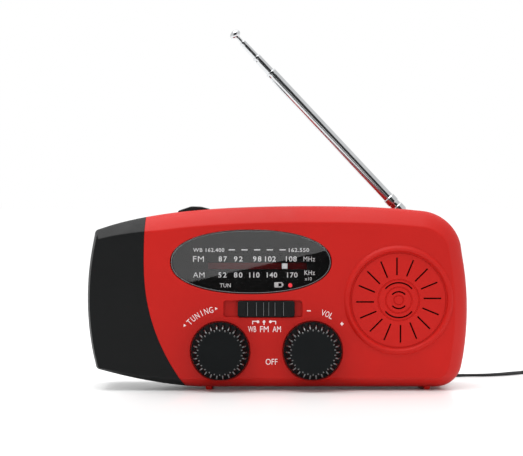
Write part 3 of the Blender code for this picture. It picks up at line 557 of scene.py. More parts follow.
def rim_step(points, share):
    """The outline drawn in by a share of the rim's width, which differs round the case."""
    moved = []
    for before, here, after in neighbours(points):
        along = (after - before).normalized()
        top = min(RIM_TOP, 3.5 + 0.1 * (here.x + 60))
        bottom = min(RIM_BOTTOM, 1.0 + 0.066 * (here.x + 60))
        reach_x = RIM_RIGHT if along.y > 0 else RIM_LEFT
        reach_z = top if along.x < 0 else bottom
        moved.append((here.x - share * reach_x * along.y, here.y + share * reach_z * along.x))
    return moved


def rim_curve():
    """Depth behind the face and share of the rim's width: a soft crease, a slope, a round shoulder."""
    steps = [(0.0, 1.10), (0.02, 1.05), (0.08, 1.0), (0.2, 0.95)]
    for t in run(0.12, 1.0, 12):
        depth = 3 * (1 - t) ** 2 * t * 1.6 + 3 * (1 - t) * t * t * 4.0 + t ** 3 * 6.5
        share = (1 - t) ** 3 + 3 * (1 - t) ** 2 * t * 0.6
        steps.append((depth, share))
    return steps


def inset(points, amount):
    moved = []
    for before, here, after in neighbours(points):
        first, second = (here - before).normalized(), (after - here).normalized()
        normal = Vector((-(first.y + second.y), first.x + second.x)).normalized()
        lean = max(0.5, normal.dot(Vector((-first.y, first.x))))
        moved.append(tuple(here + normal * amount / lean))
    return moved


def rounded_rings(shape, start, depth, radius, steps):
    """Rings that round a face's edge; shape gives the outline drawn in by an amount."""
    angles = run(0, math.pi / 2, steps + 1)[1:]
    return [(start + depth * math.sin(a), shape(radius * (1 - math.cos(a)))) for a in angles]


def case_skin(name):
    """The case's outer form: a flat front and back with sloping rims round them."""
    outline = case_outline(1.6)
    front = [(FACE_Y + depth, rim_step(outline, share)) for depth, share in rim_curve()]
    back = [(-y, shape) for y, shape in front[::-1]]
    return layers(name, front + back)


def joint_region(clearance):
    """All that lies right of the red and black joint, moved left by a clearance."""
    points = []
    for z in run(80, -10, 121):
        slope = (joint(z + 0.1) - joint(z - 0.1)) / 0.2
        points.append((joint(z) - clearance * math.hypot(1, slope), z))
    return points + [(90, -10), (90, 80)]


def cavity(name):
    hollow = prism(name, inset(case_outline(6.0), WALL), FACE_Y + WALL, BACK_Y - WALL)
    soften(hollow, 3.4, 1)
    cut(hollow, block(name + "_step", (REBATE_LEFT - WALL, 80), (REBATE_Y - WALL, 30), (REBATE_Z - WALL, 80)))
    return bake(hollow)


def flared(name, outline_at, depth, lip=0.3, face=FACE_Y):
    """A cutter whose mouth widens at the face by a small round lip."""
    steps = [(face - 2, lip + 0.02), (face, lip), (face + 0.1 * lip, 0.55 * lip),
             (face + 0.35 * lip, 0.25 * lip), (face + lip, 0), (face + depth, 0)]
    return layers(name, [(y, outline_at(grow)) for y, grow in steps])


def slot_outline(centre, angle, inner, outer, width, shift):
    along = Vector((math.cos(angle), math.sin(angle)))
    across = Vector((-along.y, along.x))
    middle = Vector(centre) + across * shift
    corners = [(inner, -width / 2), (outer, -width / 2), (outer, width / 2), (inner, width / 2)]
    return [tuple(middle + along * a + across * b) for a, b in corners]


def band_outline(centre, radius, width, start, end):
    outer = arc(centre, (radius + width / 2,) * 2, start, end, 24)
    inner = arc(centre, (radius - width / 2,) * 2, end, start, 24)
    return outer + inner


def grille_cutter():
    slots = [slot_outline(SPEAKER, math.pi / 8 * i, 8.4, 14.4, 0.52, 0.6) for i in range(16)]
    for radius in (5.9, 2.85):
        for middle in (90, 270):
            slots.append(band_outline(SPEAKER, radius, 0.5, middle - 50, middle + 50))
    return prisms("grille_slots", slots, FACE_Y - 2, FACE_Y + WALL + 1)


def relief(name, radius, width, depth):
    """A ring-shaped groove in the face."""
    half, flat = width / 2, width / 5
    profile = [(-half, -1), (-half, 0), (-flat, depth), (flat, depth), (half, 0), (half, -1)]
    return lathe(name, [(radius + r, FACE_Y + y) for r, y in profile], "Y", SPEAKER, 96, closed=True)


def dial_oval(half, grow, sides):
    """The dial's outline, a superellipse with these half widths grown by an amount."""
    points = []
    for i in range(sides):
        angle = 2 * math.pi * i / sides
        c, s = math.cos(angle), math.sin(angle)
        points.append((DIAL[0] + math.copysign(abs(c) ** (2 / DIAL_POWER), c) * (half[0] + grow),
                       DIAL[1] + math.copysign(abs(s) ** (2 / DIAL_POWER), s) * (half[1] + grow)))
    return points


def slider_recess(grow):
    return rounded_box((RECESS_X[0] - grow, RECESS_X[1] + grow), (RECESS_Z[0] - grow, RECESS_Z[1] + grow),
                       0.9 + grow)


def front_case():
    body = case_skin("front_case")
    region = prism("front_region", joint_region(-JOINT_GAP / 2), FACE_Y - 5, PART_Y - GAP / 2)
    change(body, region, "INTERSECT")
    x, z = SLIDER
    cut(body, cavity("front_cavity"),
        flared("dial_hole", lambda grow: dial_oval(DIAL_HOLE, grow, 120), 5, 0.35),
        flared("slider_hole", slider_recess, 1.6, 0.2),
        block("stem_slot", (x - 5.8, x + 3.6), (FACE_Y - 2, FACE_Y + 4), (z - 1.1, z + 1.1)))
    for name, centre in (("tuning", TUNING), ("volume", VOLUME)):
        cut(body, flared(name + "_well", lambda grow: circle(centre, WELL_RADIUS + grow, 96), 1.5, 0.15),
            prism(name + "_hole", circle(centre, 3.4, 40), FACE_Y - 1, FACE_Y + 4))
    ridge = [(16.3, 0.5), (16.45, -0.05), (16.65, -0.5), (17.0, -0.8), (17.35, -0.88), (17.75, -0.74),
             (18.15, -0.4), (18.5, 0), (18.6, 0.5)]
    join(body, lathe("speaker_ridge", [(r, FACE_Y + y) for r, y in ridge], "Y", SPEAKER, 120, closed=True))
    for i, (radius, width) in enumerate(((16.15, 0.7), (6.95, 0.6), (4.4, 0.6), (1.6, 0.5))):
        cut(body, relief(f"relief_{i}", radius, width, 0.24))
    cut(body, grille_cutter(),
        prism("button_hole", rounded_box((-34.3, -22.7), (-10.3, -1.7), 1.2), 50, 70, "Z"),
        block("panel_hole", (-18, 46), (-10.5, 3.5), (55, 70)))
    add_feet(body, "front_foot", -FOOT_Y)
    finish_piece(body, "red_shell", "case", "front_shell", sharp=32)


def add_feet(body, name, y):
    """The two round feet under one shell."""
    profile = [(0, 0)] + eased([(0.9, 0.0), (1.2, 0.35), (1.25, 2.0)], 0.3) + [(0, 2.0)]
    for i, x in enumerate(FOOT_XS):
        join(body, lathe(f"{name}_{i}", profile, "Z", (x, y), 32))


def rear_case():
    body = case_skin("rear_case")
    region = prism("rear_region", joint_region(-JOINT_GAP / 2), PART_Y + GAP / 2, BACK_Y + 5)
    change(body, region, "INTERSECT")
    cut(body, cavity("rear_cavity"), rebate("rear_rebate"))
    for i, place in enumerate(SCREWS):
        cut(body, prism(f"screw_way_{i}", circle(place, 1.6, 24), PART_Y - 1, BACK_Y + 1),
            prism(f"screw_sink_{i}", circle(place, 2.9, 48), BACK_Y - 1, BACK_Y + 1))
    cut(body, prism("crank_hole", circle(CRANK, 2.4, 40), 10, BACK_Y + 1), hub_track(),
        prism("aerial_hole", circle(PIVOT[:2], 2.1, 40), 45, 54, "Z"),
        prism("socket_hole", rounded_box((34, 58), (19.5, 28.5), 1.5), 10, 25))
    join(body, block("strap_block", (51, 57.0), (12.0, 16.1), (5.8, 10.6)))
    x, y, z = STRAP_BAR
    cut(body, block("strap_notch", (x - 2, x + 2), (y - 2, 22), (z - 1.9, z + 1.9)),
        prism("strap_bore", circle((y, z), 1.0, 24), x - 2.8, x + 2.8, "X"), grip_grooves())
    add_feet(body, "rear_foot", FOOT_Y)
    finish_piece(body, "red_shell", "case", "rear_shell", sharp=32)


def hub_track():
    """A shallow round track in the rear face under the crank's hub."""
    profile = [(8.2, 1), (8.2, -0.25), (8.5, -0.35), (9.0, -0.35), (9.3, -0.25), (9.3, 1)]
    return lathe("hub_track", [(r, BACK_Y + y) for r, y in profile], "Y", CRANK, 96, closed=True)


def grip_grooves():
    """Finger grooves low on the rear face, clear of the screws."""
    lines = [rounded_box((-12.0, 36.0), (8.5 + 2.2 * i, 9.4 + 2.2 * i), 0.44, 4) for i in range(4)]
    return prisms("grip_grooves", lines, BACK_Y - 0.45, BACK_Y + 2)


def rebate(name):
    return block(name, (REBATE_LEFT, 80), (REBATE_Y, 40), (REBATE_Z, 80))


def end_case():
    body = case_skin("torch_end")
    mouth = [(0, -70), (10.2, -70), (9.2, -62.9), (9.0, -62.5), (9.0, -58), (0, -58)]
    cut(body, prism("end_region", joint_region(JOINT_GAP / 2), FACE_Y - 5, BACK_Y + 5),
        cavity("end_cavity"), rebate("end_rebate"), lathe("torch_hole", mouth, "X", TORCH_YZ, 96))
    finish_piece(body, "black_shell", "case", "end_cap", sharp=32)


# ---- torch and switch

def dome(radius, along, rise, start=0.0):
    """A turned cap's profile, from its rim to a last point on the axis."""
    points = [(radius * math.cos(a), along + rise * math.sin(a)) for a in run(start, math.pi / 2, 8)]
    return points[:-1] + [(0, points[-1][1])]


def torch():
    lens = [(0, -59.9), (10.2, -59.9), (10.2, -60.7), (8.7, -60.7), (8.7, -63.0), (8.2, -63.35)]
    lens += dome(8.2, -63.35, -0.25, 0.2)
    finish_piece(lathe("torch_window", lens, "X", TORCH_YZ, 72), "torch_clear", "case", "torch_lens")
    bowl = [(3.6 + 5.6 * math.sqrt(t), -54.4 - 5.2 * t) for t in run(0, 1, 13)]
    back = [(r + 0.7, x) for r, x in bowl[::-1]]
    finish_piece(lathe("torch_bowl", bowl + back, "X", TORCH_YZ, 72, closed=True), "chrome", "case",
                 "torch_reflector")
    bulb = [(0, -54.2), (1.3, -54.2), (1.3, -54.6), (1.25, -54.7)] + dome(1.25, -56.0, -0.9)
    for i in range(3):
        angle = math.pi / 2 + i * 2 * math.pi / 3
        centre = (TORCH_YZ[0] + 1.9 * math.cos(angle), TORCH_YZ[1] + 1.9 * math.sin(angle))
        finish_piece(lathe(f"torch_bulb_{i + 1}", bulb, "X", centre, 32), "led_white", "case",
                     f"torch_led_{i + 1}")


def torch_button():
    """A key with a sloping, slightly ridged top."""
    x, y, half_y = -28.5, -6.0, 4.0
    outline = [(x - 5.5, 56.6), (x + 5.5, 56.6), (x + 5.5, 61.5), (x + 2.3, 62.3), (x - 1.0, 62.4),
               (x - 5.5, 60.9)]
    body = prism("torch_key", eased(outline, 0.5, 3, True), y - half_y, y + half_y)
    soften(body, 0.35, 3, 60)
    groove = [(x - 9, 70), (x + 9, 70), (x + 9, 62.02), (x - 9, 62.02)]
    for k in range(-2, 3):
        cut(body, prism(f"key_groove_{k}", groove, y + 1.4 * k - 0.2, y + 1.4 * k + 0.2))
    join(body, block("key_flange", (x - 6.5, x + 6.5), (y - 5, y + 5), (56.2, 57.4)))
    finish_piece(body, "black_knob", "button", "torch_button")


# ---- dial

def glyphs(name, text, width, height, bold=0.014, spacing=1.0):
    """Thin raised lettering round the origin, stretched to its width and height."""
    data = bpy.data.curves.new(name, "FONT")
    data.body = text
    data.size = 1.0
    data.offset = bold
    data.space_character = spacing
    data.resolution_u = 3
    thing = link(name, data)
    mesh = final_mesh(thing, fresh_graph())
    bpy.data.objects.remove(thing, do_unlink=True)
    xs, zs = [v.co.x for v in mesh.vertices], [v.co.y for v in mesh.vertices]
    middle = Vector(((min(xs) + max(xs)) / 2, (min(zs) + max(zs)) / 2, 0))
    stretch = Matrix.Diagonal((width * MM / (max(xs) - min(xs)), height * MM / (max(zs) - min(zs)), 1, 1))
    mesh.transform(Matrix.Rotation(math.pi / 2, 4, "X") @ stretch @ Matrix.Translation(-middle))
    return link(name, mesh)


def words(text, left, right, z, height):
    """Lettering of the dial between two x positions, centred on a height."""
    bold = 0.0 if "M" in text else 0.014
    spacing = 1.3 if text.isdigit() and len(text) == 2 else 1.08
    thing = glyphs("scale_" + text, text, right - left, height, bold, spacing)
    thing.matrix_world = Matrix.Translation(Vector(((left + right) / 2, DIAL_PRINT_Y, z)) * MM)
    return thing


def arched(name, letters, centre, radius, first, step, height, y):
    """Letters along an arc round a knob, each turned with the arc; widths are given with them."""
    things = []
    for i, (letter, width) in enumerate(letters):
        angle = math.radians(first - step * i)
        thing = glyphs(f"{name}_{i}", letter, width, height, 0)
        place = (centre[0] + radius * math.cos(angle), y, centre[1] + radius * math.sin(angle))
        turn = Matrix.Rotation(math.pi / 2 - angle, 4, "Y")
        thing.matrix_world = Matrix.Translation(Vector(place) * MM) @ turn
        things.append(thing)
    return things


def bar(name, x, z, width, height, y):
    """A thin raised stroke."""
    return block(name, (x - width / 2, x + width / 2), (y - INK, y + INK), (z - height / 2, z + height / 2))


def dial_rings(profile):
    return [(FACE_Y + depth, dial_oval(DIAL_GLASS, grow, 160)) for depth, grow in profile]


def dial_window():
    body = layers("dial_glass", dial_rings([(0.1, -0.34), (0.12, -0.24), (0.2, -0.1), (0.34, 0), (3.0, 0)]))
    join(body, prism("glass_flange", dial_oval(DIAL_FLANGE, 0, 80), FACE_Y + 2.3, FACE_Y + 3.3))
    finish_piece(body, "clear_window", "case", "dial_window")
    # A thin ring on the pane's bevel whose light grey is a painted highlight, for the light that the clear
    # edge catches.
    edge = dial_rings([(0.3, -0.30), (0.06, -0.26), (0.06, -0.12), (0.3, -0.06)])
    finish_piece(layers("window_edge_highlight", edge, closed=True), "window_edge_highlight", "case", slot="clear_window")


# The dial's lettering: text, its left and right ends, the height of its middle and its own height.
SCALE = [("WB 162.400", -28.7, -18.05, 47.55, 1.35), ("162.550", 3.9, 10.85, 47.55, 1.35),
         ("FM", -28.7, -25.0, 44.5, 1.95), ("87", -20.0, -17.15, 44.5, 1.8), ("92", -14.8, -11.8, 44.5, 1.8),
         ("98", -8.3, -5.45, 44.5, 1.8), ("102", -4.2, -0.5, 44.5, 1.8), ("108", 2.9, 6.6, 44.5, 1.8),
         ("MHz", 8.9, 12.8, 44.5, 1.65),
         ("AM", -28.7, -24.8, 39.05, 1.8), ("52", -20.1, -17.3, 39.05, 1.8),
         ("80", -14.8, -11.9, 39.05, 1.8), ("110", -9.55, -6.05, 39.05, 1.8),
         ("140", -3.6, -0.06, 39.05, 1.8), ("170", 3.3, 6.9, 39.05, 1.8),
         ("KHz", 9.2, 12.8, 39.85, 1.6), ("x10", 9.3, 11.7, 37.75, 1.15), ("TUN", -19.6, -15.85, 35.5, 1.4)]


def dial_print():
    marks = [words(*row) for row in SCALE[:2]]
    marks += [bar(f"dash_{i}", -15.5 + 4.32 * i, 47.6, 2.1, 0.39, DIAL_PRINT_Y) for i in range(5)]
    marks += [words(*row) for row in SCALE[2:]] + [battery_sign(0.45, 35.7)]
    finish_piece(merge("dial_scale", marks), "print_white", "case", slot="pointer_white")


def battery_sign(x, z):
    """A cell lying on its side: a white frame, half filled, with a nub."""
    low, high = DIAL_PRINT_Y - INK, DIAL_PRINT_Y + INK
    sign = prism("cell_sign", rounded_box((x - 1.5, x + 1.3), (z - 0.88, z + 0.88), 0.3, 3), low, high)
    cut(sign, block("cell_inside", (x - 0.1, x + 1.0), (low - 1, high + 1), (z - 0.55, z + 0.55)))
    join(sign, block("cell_nub", (x + 1.25, x + 1.6), (low, high), (z - 0.4, z + 0.4)))
    return bake(sign)


def pointer():
    """The white pointer's flag with eased edges, its arm and its rack with straight teeth."""
    x, z = 2.5, 42.1
    flag = block("dial_needle", (x - 0.95, x + 0.95), (-13.7, -9.1), (z - 0.9, z + 0.9))
    soften(flag, 0.15, 2)
    join(flag, block("needle_arm", (x - 0.95, x + 0.95), (-9.9, -9.1), (20.5, z + 0.9)), rack())
    finish_piece(flag, "pointer_white", "pointer", "dial_pointer")


def rack():
    module, teeth, backlash = 0.75, 16, 0.25
    pitch = math.pi * module
    line = TUNING[1] + module * teeth / 2
    half = pitch / 4 - backlash / 2
    lean = math.tan(math.radians(20)) * module
    root, tip = line + module, line - 0.8 * module
    outline = []
    for i in range(-3, 11):
        middle = TUNING[0] + pitch * (i + 0.5)
        outline += [(middle - half - lean, root), (middle - half + 0.8 * lean, tip),
                    (middle + half - 0.8 * lean, tip), (middle + half + lean, root)]
    outline += [(outline[-1][0], line + 3.0), (outline[0][0], line + 3.0)]
    return prism("rack_teeth", outline, -10.0, -8.0)


# ---- knobs and slider

def knob(name, centre, body, node):
    """A tapered knob: narrow round ribs that run out under a flat cap, with glossy crests on them whose
    lighter grey is a painted highlight.
    """
    ribs = 26
    count = ribs * 10

    def ring(radius, depth):
        points = []
        for i in range(count):
            angle = 2 * math.pi * i / count
            rise = abs(math.cos(ribs * angle / 2)) ** 5
            r = radius - depth * (1 - rise)
            points.append((centre[0] + r * math.cos(angle), centre[1] + r * math.sin(angle)))
        return points

    sections = [(-18.1, 9.8, 0), (-18.4, 9.8, 0.05), (-18.6, 9.75, 0.6), (-20.0, 9.55, 1.0),
                (-22.0, 9.30, 1.2), (-23.4, 9.05, 1.35), (-24.2, 8.75, 1.2), (-24.7, 8.4, 0.9),
                (-25.0, 8.0, 0.5), (-25.2, 7.75, 0.2), (-25.3, 7.6, 0.05), (-25.3, 7.4, 0), (-25.3, 6.0, 0)]
    grip_skin = layers(name, [(y, ring(r, d)) for y, r, d in sections])
    cut(grip_skin, prism(name + "_bore", circle(centre, 2.3, 32), -21, -15))
    finish_piece(grip_skin, "knob_face", body, node, sharp=50, slot="black_knob")
    # Crests on the ribs and beads on the cap's edge, glossy and lighter grey than the knob: a painted
    # highlight where the ribs catch light.
    crest = [(9.12, -23.2), (8.86, -24.2), (8.48, -24.82), (8.05, -25.14), (7.72, -25.32), (7.65, -25.2),
             (8.0, -24.9), (8.4, -24.5), (8.7, -23.9), (8.9, -23.2)]
    bead = [(7.72, -25.0), (7.70, -25.32), (7.55, -25.48), (7.35, -25.55), (7.1, -25.52), (7.2, -25.2)]
    crests = []
    for i in range(2 * ribs):      # a crest on each rib, and a bead on the cap's edge between ribs
        profile, half = ((crest, 0.21), (bead, 0.2))[i % 2]
        spoke = soften(prism(f"{name}_crest_{i}", profile, -half, half, "Z"), 0.08, 2)
        spoke.matrix_world = (Matrix.Translation(Vector((centre[0], 0, centre[1])) * MM)
                              @ Matrix.Rotation(math.pi * i / ribs, 4, "Y"))
        crests.append(spoke)
    finish_piece(merge(name + "_crests", crests), "crest_highlight", body, slot="black_knob")
    face = [(0, -24.9), (7.55, -24.9), (7.55, -25.35), (7.45, -25.46), (7.3, -25.5), (7.0, -25.5), (0, -25.5)]
    finish_piece(lathe(name + "_face", face, "Y", centre, 96), "knob_face", body, slot="black_knob")


def slider():
    """A black key with thin ridges across it, their lighter grey a painted highlight, on a stem with a collar
    behind the recess's floor.
    """
    x, z = SLIDER
    half_x, half_z = 9.65, 2.7
    outline = rounded_box((x - half_x, x + half_x), (z - half_z, z + half_z), 0.8)
    rings = [(-17.0, outline), (-18.3, outline)]
    rings += rounded_rings(lambda drawn: inset(outline, drawn), -18.3, -0.45, 0.4, 5)
    body = layers("band_key", rings)
    ridges = []
    for i, shift in enumerate((-6.3, -3.3, -0.9, 0.85, 2.95, 5.85)):
        cut(body, prism(f"key_dip_{i}", dip_profile(x + shift), z - 5, z + 5, "Z"))
        ridges.append(rounded_box((x + shift - 0.12, x + shift + 0.12), (z - 2.3, z + 2.3), 0.1, 3))
    join(body, block("key_stem", (x - 1, x + 1), (-17.2, -12.6), (z - 0.8, z + 0.8)),
         block("key_collar", (x - 4, x + 4), (-15.7, -14.6), (z - 2.2, z + 2.2)))
    finish_piece(body, "black_shell", "band", "band_slider", slot="black_knob")
    # The ridges are glossy and lighter grey than the key: a painted highlight along them.
    lines = soften(prisms("key_ridges", ridges, -18.88, -18.3), 0.06, 2)
    finish_piece(lines, "ridge_highlight", "band", slot="black_knob")


def dip_profile(x):
    """A shallow round hollow across the key's front, seen from above."""
    points = [(x - 0.9, -19.5), (x + 0.9, -19.5)]
    return points + [(x + dx, -18.75 + 0.22 * math.cos(dx * math.pi / 1.8)) for dx in run(0.9, -0.9, 9)]


def case_print():
    y = FACE_Y - 0.01
    tuning = [("T", 1.25), ("U", 1.2), ("N", 1.25), ("I", 0.24), ("N", 1.25), ("G", 1.35)]
    marks = arched("tuning", tuning, TUNING, 14.3, 136.4, 6.8, 2.0, y)
    marks += arched("volume", [("V", 1.3), ("O", 1.3), ("L", 1.0)], VOLUME, 13.4, 74.4, 6.2, 2.0, y)
    for name, x, z, way in (("left", -31.45, 22.1, 1), ("right", -20.75, 27.85, -1)):
        marks.append(arrow(name, x, z, math.atan2(z - TUNING[1], x - TUNING[0]), way, y))
    marks.append(bar("minus", 10.6, 27.1, 1.3, 0.34, y))
    marks += [bar("plus_a", 21.8, 22.7, 1.1, 0.4, y), bar("plus_b", 21.8, 22.7, 0.4, 1.1, y - 0.005)]
    for text, left, right, z in (("WB", -9.95, -7.2, 20.9), ("FM", -5.9, -3.0, 20.9),
                                 ("AM", -1.65, 1.15, 20.9), ("OFF", -4.0, 0.0, 9.85)):
        thing = glyphs("face_" + text, text, right - left, 2.0, 0)
        thing.matrix_world = Matrix.Translation(Vector(((left + right) / 2, y, z)) * MM)
        marks.append(thing)
    for i, x in enumerate((-6.6, -4.55, -2.4)):
        marks.append(prism(f"dot_{i}", circle((x, 23.4), 0.47, 20), y - 0.02, y + 0.01))
    hooks = [(-7.6, 23.55, 1.9, 0.3), (-8.4, 23.1, 0.3, 1.2), (-1.4, 23.55, 1.9, 0.3), (-0.6, 23.1, 0.3, 1.2),
             (-4.55, 22.9, 0.34, 1.1)]
    marks += [bar(f"hook_{i}", *hook, y - 0.004 * (i % 2)) for i, hook in enumerate(hooks)]
    finish_piece(merge("case_marks", marks), "case_print", "case", slot="pointer_white")


def arrow(name, x, z, angle, way, y):
    along = Vector((math.sin(angle), -math.cos(angle))) * way
    across = Vector((-along.y, along.x)) * 0.5
    tip, base = Vector((x, z)) - along * 0.55, Vector((x, z)) + along * 0.35
    return prism("arrow_" + name, [tuple(tip), tuple(base + across), tuple(base - across)], y - INK, y + INK)


# ---- speaker, panel and sockets

def speaker():
    """The dark cone seen through the slots, with a roll edge and a dust cap."""
    profile = [(0, -8.6), (4.6, -8.6), (14.9, -14.2), (14.9, -14.6)]
    profile += [(13.9 + 0.9 * math.cos(a), -14.6 - 0.3 * math.sin(a)) for a in run(0.2, math.pi - 0.2, 8)]
    profile += [(12.4, -13.9), (5.0, -9.8)] + dome(4.4, -9.8, -1.2, 0.1)
    finish_piece(lathe("speaker_diaphragm", profile, "Y", SPEAKER, 96), "paper_cone", "case", "speaker_cone")


def solar():
    """The panel's tray, its cells, their wires and the clear resin over them."""
    tray = block("solar_tray", (-17.7, 45.7), (-10.2, 3.2), (57.6, 60.45))
    soften(tray, 0.25, 2)
    join(tray, block("tray_flange", (-19, 47), (-11.5, 4.5), (57.6, 58.7)))
    finish_piece(tray, "black_shell", "case", "solar_panel")
    cells, bars = [], []
    for i in range(CELLS):
        left = CELL_LEFT + CELL_PITCH * i
        cells.append(rounded_box((left, left + 7.4), (-9.1, 2.1), 0.25, 2))
        for k in range(6):
            bars.append(rounded_box((left + 0.9 + 1.1 * k, left + 1.0 + 1.1 * k), (-8.9, 1.9), 0.02, 1))
        for ends in ((-6.1, -5.8), (-1.4, -1.1)):
            bars.append(rounded_box((left + 0.2, left + 7.2), ends, 0.05, 1))
    finish_piece(prisms("solar_cells", cells, 60.40, 60.58, "Z"), "solar", "case")
    finish_piece(prisms("solar_fingers", bars, 60.57, 60.61, "Z"), "steel", "case")
    resin = soften(block("solar_resin", (-17.5, 45.5), (-10.0, 3.0), (60.44, 60.8)), 0.18, 3)
    finish_piece(resin, "torch_clear", "case")


def rubber_cover():
    """The soft cover of the sockets, with a raised frame, a finger nick and a plug behind it."""
    def plan(drawn):
        return rounded_box((COVER_X[0] + drawn, COVER_X[1] - drawn), (COVER_Z[0] + drawn, COVER_Z[1] - drawn),
                           COVER_RADIUS - drawn)

    rings = [(18.3, plan(0)), (19.2, plan(0))] + rounded_rings(plan, 19.2, 0.5, 0.5, 5)
    body = layers("socket_flap", rings)
    cut(body, prism("flap_frame", rounded_box((35.0, 57.0), (20.2, 27.8), 1.6), 19.45, 21),
        prism("finger_nick", circle((46.0, 30.6), 2.6, 48), 19.0, 21))
    join(body, prism("cover_plug", rounded_box((35, 57), (20.4, 27.4), 1.2), 16.7, 18.6))
    finish_piece(body, "rubber", "socket_cover", "usb_cover")


def cross_recess(head, centre, turn, reach, width, low, high):
    for k in range(2):
        outline = slot_outline(centre, turn + k * math.pi / 2, -reach, reach, width, 0)
        cut(head, prism(f"{head.name}_recess_{k}", outline, low, high))


def screws():
    profile = [(0, -3.0), (0.5, -2.6), (1.1, -1.2)]
    for k in range(16):
        profile += [(1.05, k - 1.0), (1.25, k - 0.5)]
    profile += [(1.25, 17.2), (2.5, 17.3), (2.5, 17.6), (2.2, 17.85), (1.4, 17.95), (0, 17.95)]
    for i, place in enumerate(SCREWS, 1):
        head = lathe(f"case_screw_{i}", profile, "Y", place, 28)
        cross_recess(head, place, math.radians(17 + 31 * i), 1.35, 0.5, 17.35, 19)
        finish_piece(head, "steel", "case", f"shell_screw_{i}")


# ---- crank

def crank():
    z = CRANK[1]
    plan = arc(CRANK, (7.0, 7.0), 94, 266, 40) + arc((24.0, z), (6.3, 6.3), -88, 88, 36)
    rings = [(18.4, inset(plan, 0.5)), (18.55, inset(plan, 0.15)), (18.9, plan), (22.9, plan)]
    rings += rounded_rings(lambda drawn: inset(plan, drawn), 22.9, 1.4, 1.4, 6)
    arm = layers("crank_lever", rings)
    dish = [(0, 24.0), (4.0, 24.0), (4.3, 24.2), (4.4, 25.5), (0, 25.5)]
    cut(arm, flared_back("grip_slot", rounded_box((-7, 24.5), (z - 3.6, z + 3.6), 0.6)),
        prism("grip_pin_bore", circle((20.0, GRIP_YZ[0]), 1.3, 24), z - 5.4, z + 5.4, "Z"),
        prism("hub_bore", circle(CRANK, 2.3, 40), 10, 30), lathe("hub_dish", dish, "Y", CRANK, 64))
    finish_piece(arm, "black_shell", "crank", "crank_arm", sharp=40)
    cap = [(0, 21.4), (1.4, 21.4), (1.4, 24.6), (3.2, 24.6), (3.2, 24.9), (3.0, 25.2), (2.3, 25.42),
           (1.2, 25.5), (0, 25.5)]
    head = lathe("crank_bolt", cap, "Y", CRANK, 48)
    cross_recess(head, CRANK, 0.6, 1.7, 0.6, 24.9, 27)
    finish_piece(head, "steel", "crank", "crank_screw")
    grip()


def flared_back(name, outline):
    steps = [(10, 0), (23.8, 0), (24.1, 0.08), (24.25, 0.25), (24.35, 0.4), (30, 0.4)]
    return layers(name, [(y, inset(outline, -grow)) for y, grow in steps])


def grip():
    """The turning grip: a waisted barrel with round grooves, on its hinged pin."""
    outer = []
    for t in run(0, 1, 61):
        groove = 0.28 * max(0.0, math.cos(2 * math.pi * (t * 7))) ** 2 if 0.1 < t < 0.9 else 0.0
        belly = 2.75 + 0.35 * math.sin(math.pi * t) ** 0.5
        outer.append((min(3.1, belly) - groove, -3.7 + 20.5 * t))
    barrel = lathe("grip_barrel", outer + [(1.5, 16.8), (1.5, -3.7)], "X", GRIP_YZ, 56, closed=True)
    finish_piece(barrel, "black_knob", "grip", "crank_grip")


# ---- aerial

def mast_matrix():
    return Matrix.Translation(Vector(PIVOT) * MM) @ Matrix.Rotation(MAST_TILT - math.pi / 2, 4, "Y")


def mast_piece(name, profile, closed=False):
    piece = lathe(name, profile, "Z", (0, 0), 48, closed)
    piece.matrix_world = mast_matrix()
    return piece


def tube(outer, bore, low, high):
    """A drawn tube whose upper end is rolled in, with a fine ring below it."""
    return [(bore, low), (bore, high - 0.1), (bore + 0.05, high), (outer - 0.12, high),
            (outer - 0.02, high - 0.18), (outer, high - 0.5), (outer, high - 1.6), (outer - 0.06, high - 1.8),
            (outer, high - 2.0), (outer, low)]


def aerial():
    x, y, z = PIVOT
    turret = eased([(0, 52.8), (4.4, 52.8), (4.4, 53.9), (0, 53.9)], 0.3)
    base = lathe("aerial_turret", turret, "Z", (x, y), 64)
    ear = rounded_box((x - 2.6, x + 2.6), (53.0, z + 2.4), 2.3, 8)
    join(base, prism("fork", ear, y - 3.6, y + 3.6),
         prism("rivet_stem", circle((x, y), 1.8, 32), 49.6, 53.5, "Z"),
         prism("rivet_head", circle((x, y), 2.6, 32), 48.8, 50.1, "Z"))
    cut(base, block("fork_slot", (x - 6, x + 6), (y - 2.2, y + 2.2), (53.9, 70)),
        prism("fork_bore", circle((x, z), 1.2, 24), y - 6, y + 6))
    finish_piece(base, "chrome", "mast_base", "antenna_base")
    pin = [(0, y - 3.9), (0.6, y - 3.9), (0.9, y - 3.7), (0.9, y + 3.7), (0.6, y + 3.9), (0, y + 3.9)]
    finish_piece(lathe("aerial_rivet", pin, "Y", (x, z), 32), "steel", "mast_base", "antenna_pin")
    foot = eased([(2.25, 12.0), (2.25, 9.8), (1.98, 9.6), (1.98, 8.1), (2.25, 7.9), (2.25, 5.6), (1.8, 5.0),
                  (1.8, 1.5)], 0.25, 3)
    upper = tube(1.95, 1.65, 12.1, 73.0)[1:-1]
    profile = [(0, 12.1), (1.65, 12.1)] + upper + [(1.95, 12.3)] + foot + [(0, 1.5)]
    first = mast_piece("aerial_tube_1", profile)
    join(first, prism("knuckle", circle((x, z), 2.1, 48), y - 1.9, y + 1.9))
    cut(first, prism("knuckle_bore", circle((x, z), 1.2, 24), y - 3, y + 3))
    finish_piece(first, "chrome", "mast_1", "antenna_tube_1")
    for i, sizes in ((2, (1.5, 1.27, 20.0, 80.4)), (3, (1.15, 0.82, 27.0, 87.6))):
        finish_piece(mast_piece(f"aerial_tube_{i}", tube(*sizes), closed=True), "chrome", f"mast_{i}",
                     f"antenna_tube_{i}")
    tip = [(0, 34.0), (0.5, 34.0), (0.65, 34.3), (0.65, 89.6), (0.9, 89.9), (1.55, 90.2), (1.9, 90.6),
           (2.0, 91.05), (1.95, 91.5), (1.7, 91.95), (1.25, 92.3), (0.7, 92.52), (0, 92.6)]
    finish_piece(mast_piece("aerial_tip", tip), "chrome", "mast_tip", "antenna_tip")


# ---- wrist strap

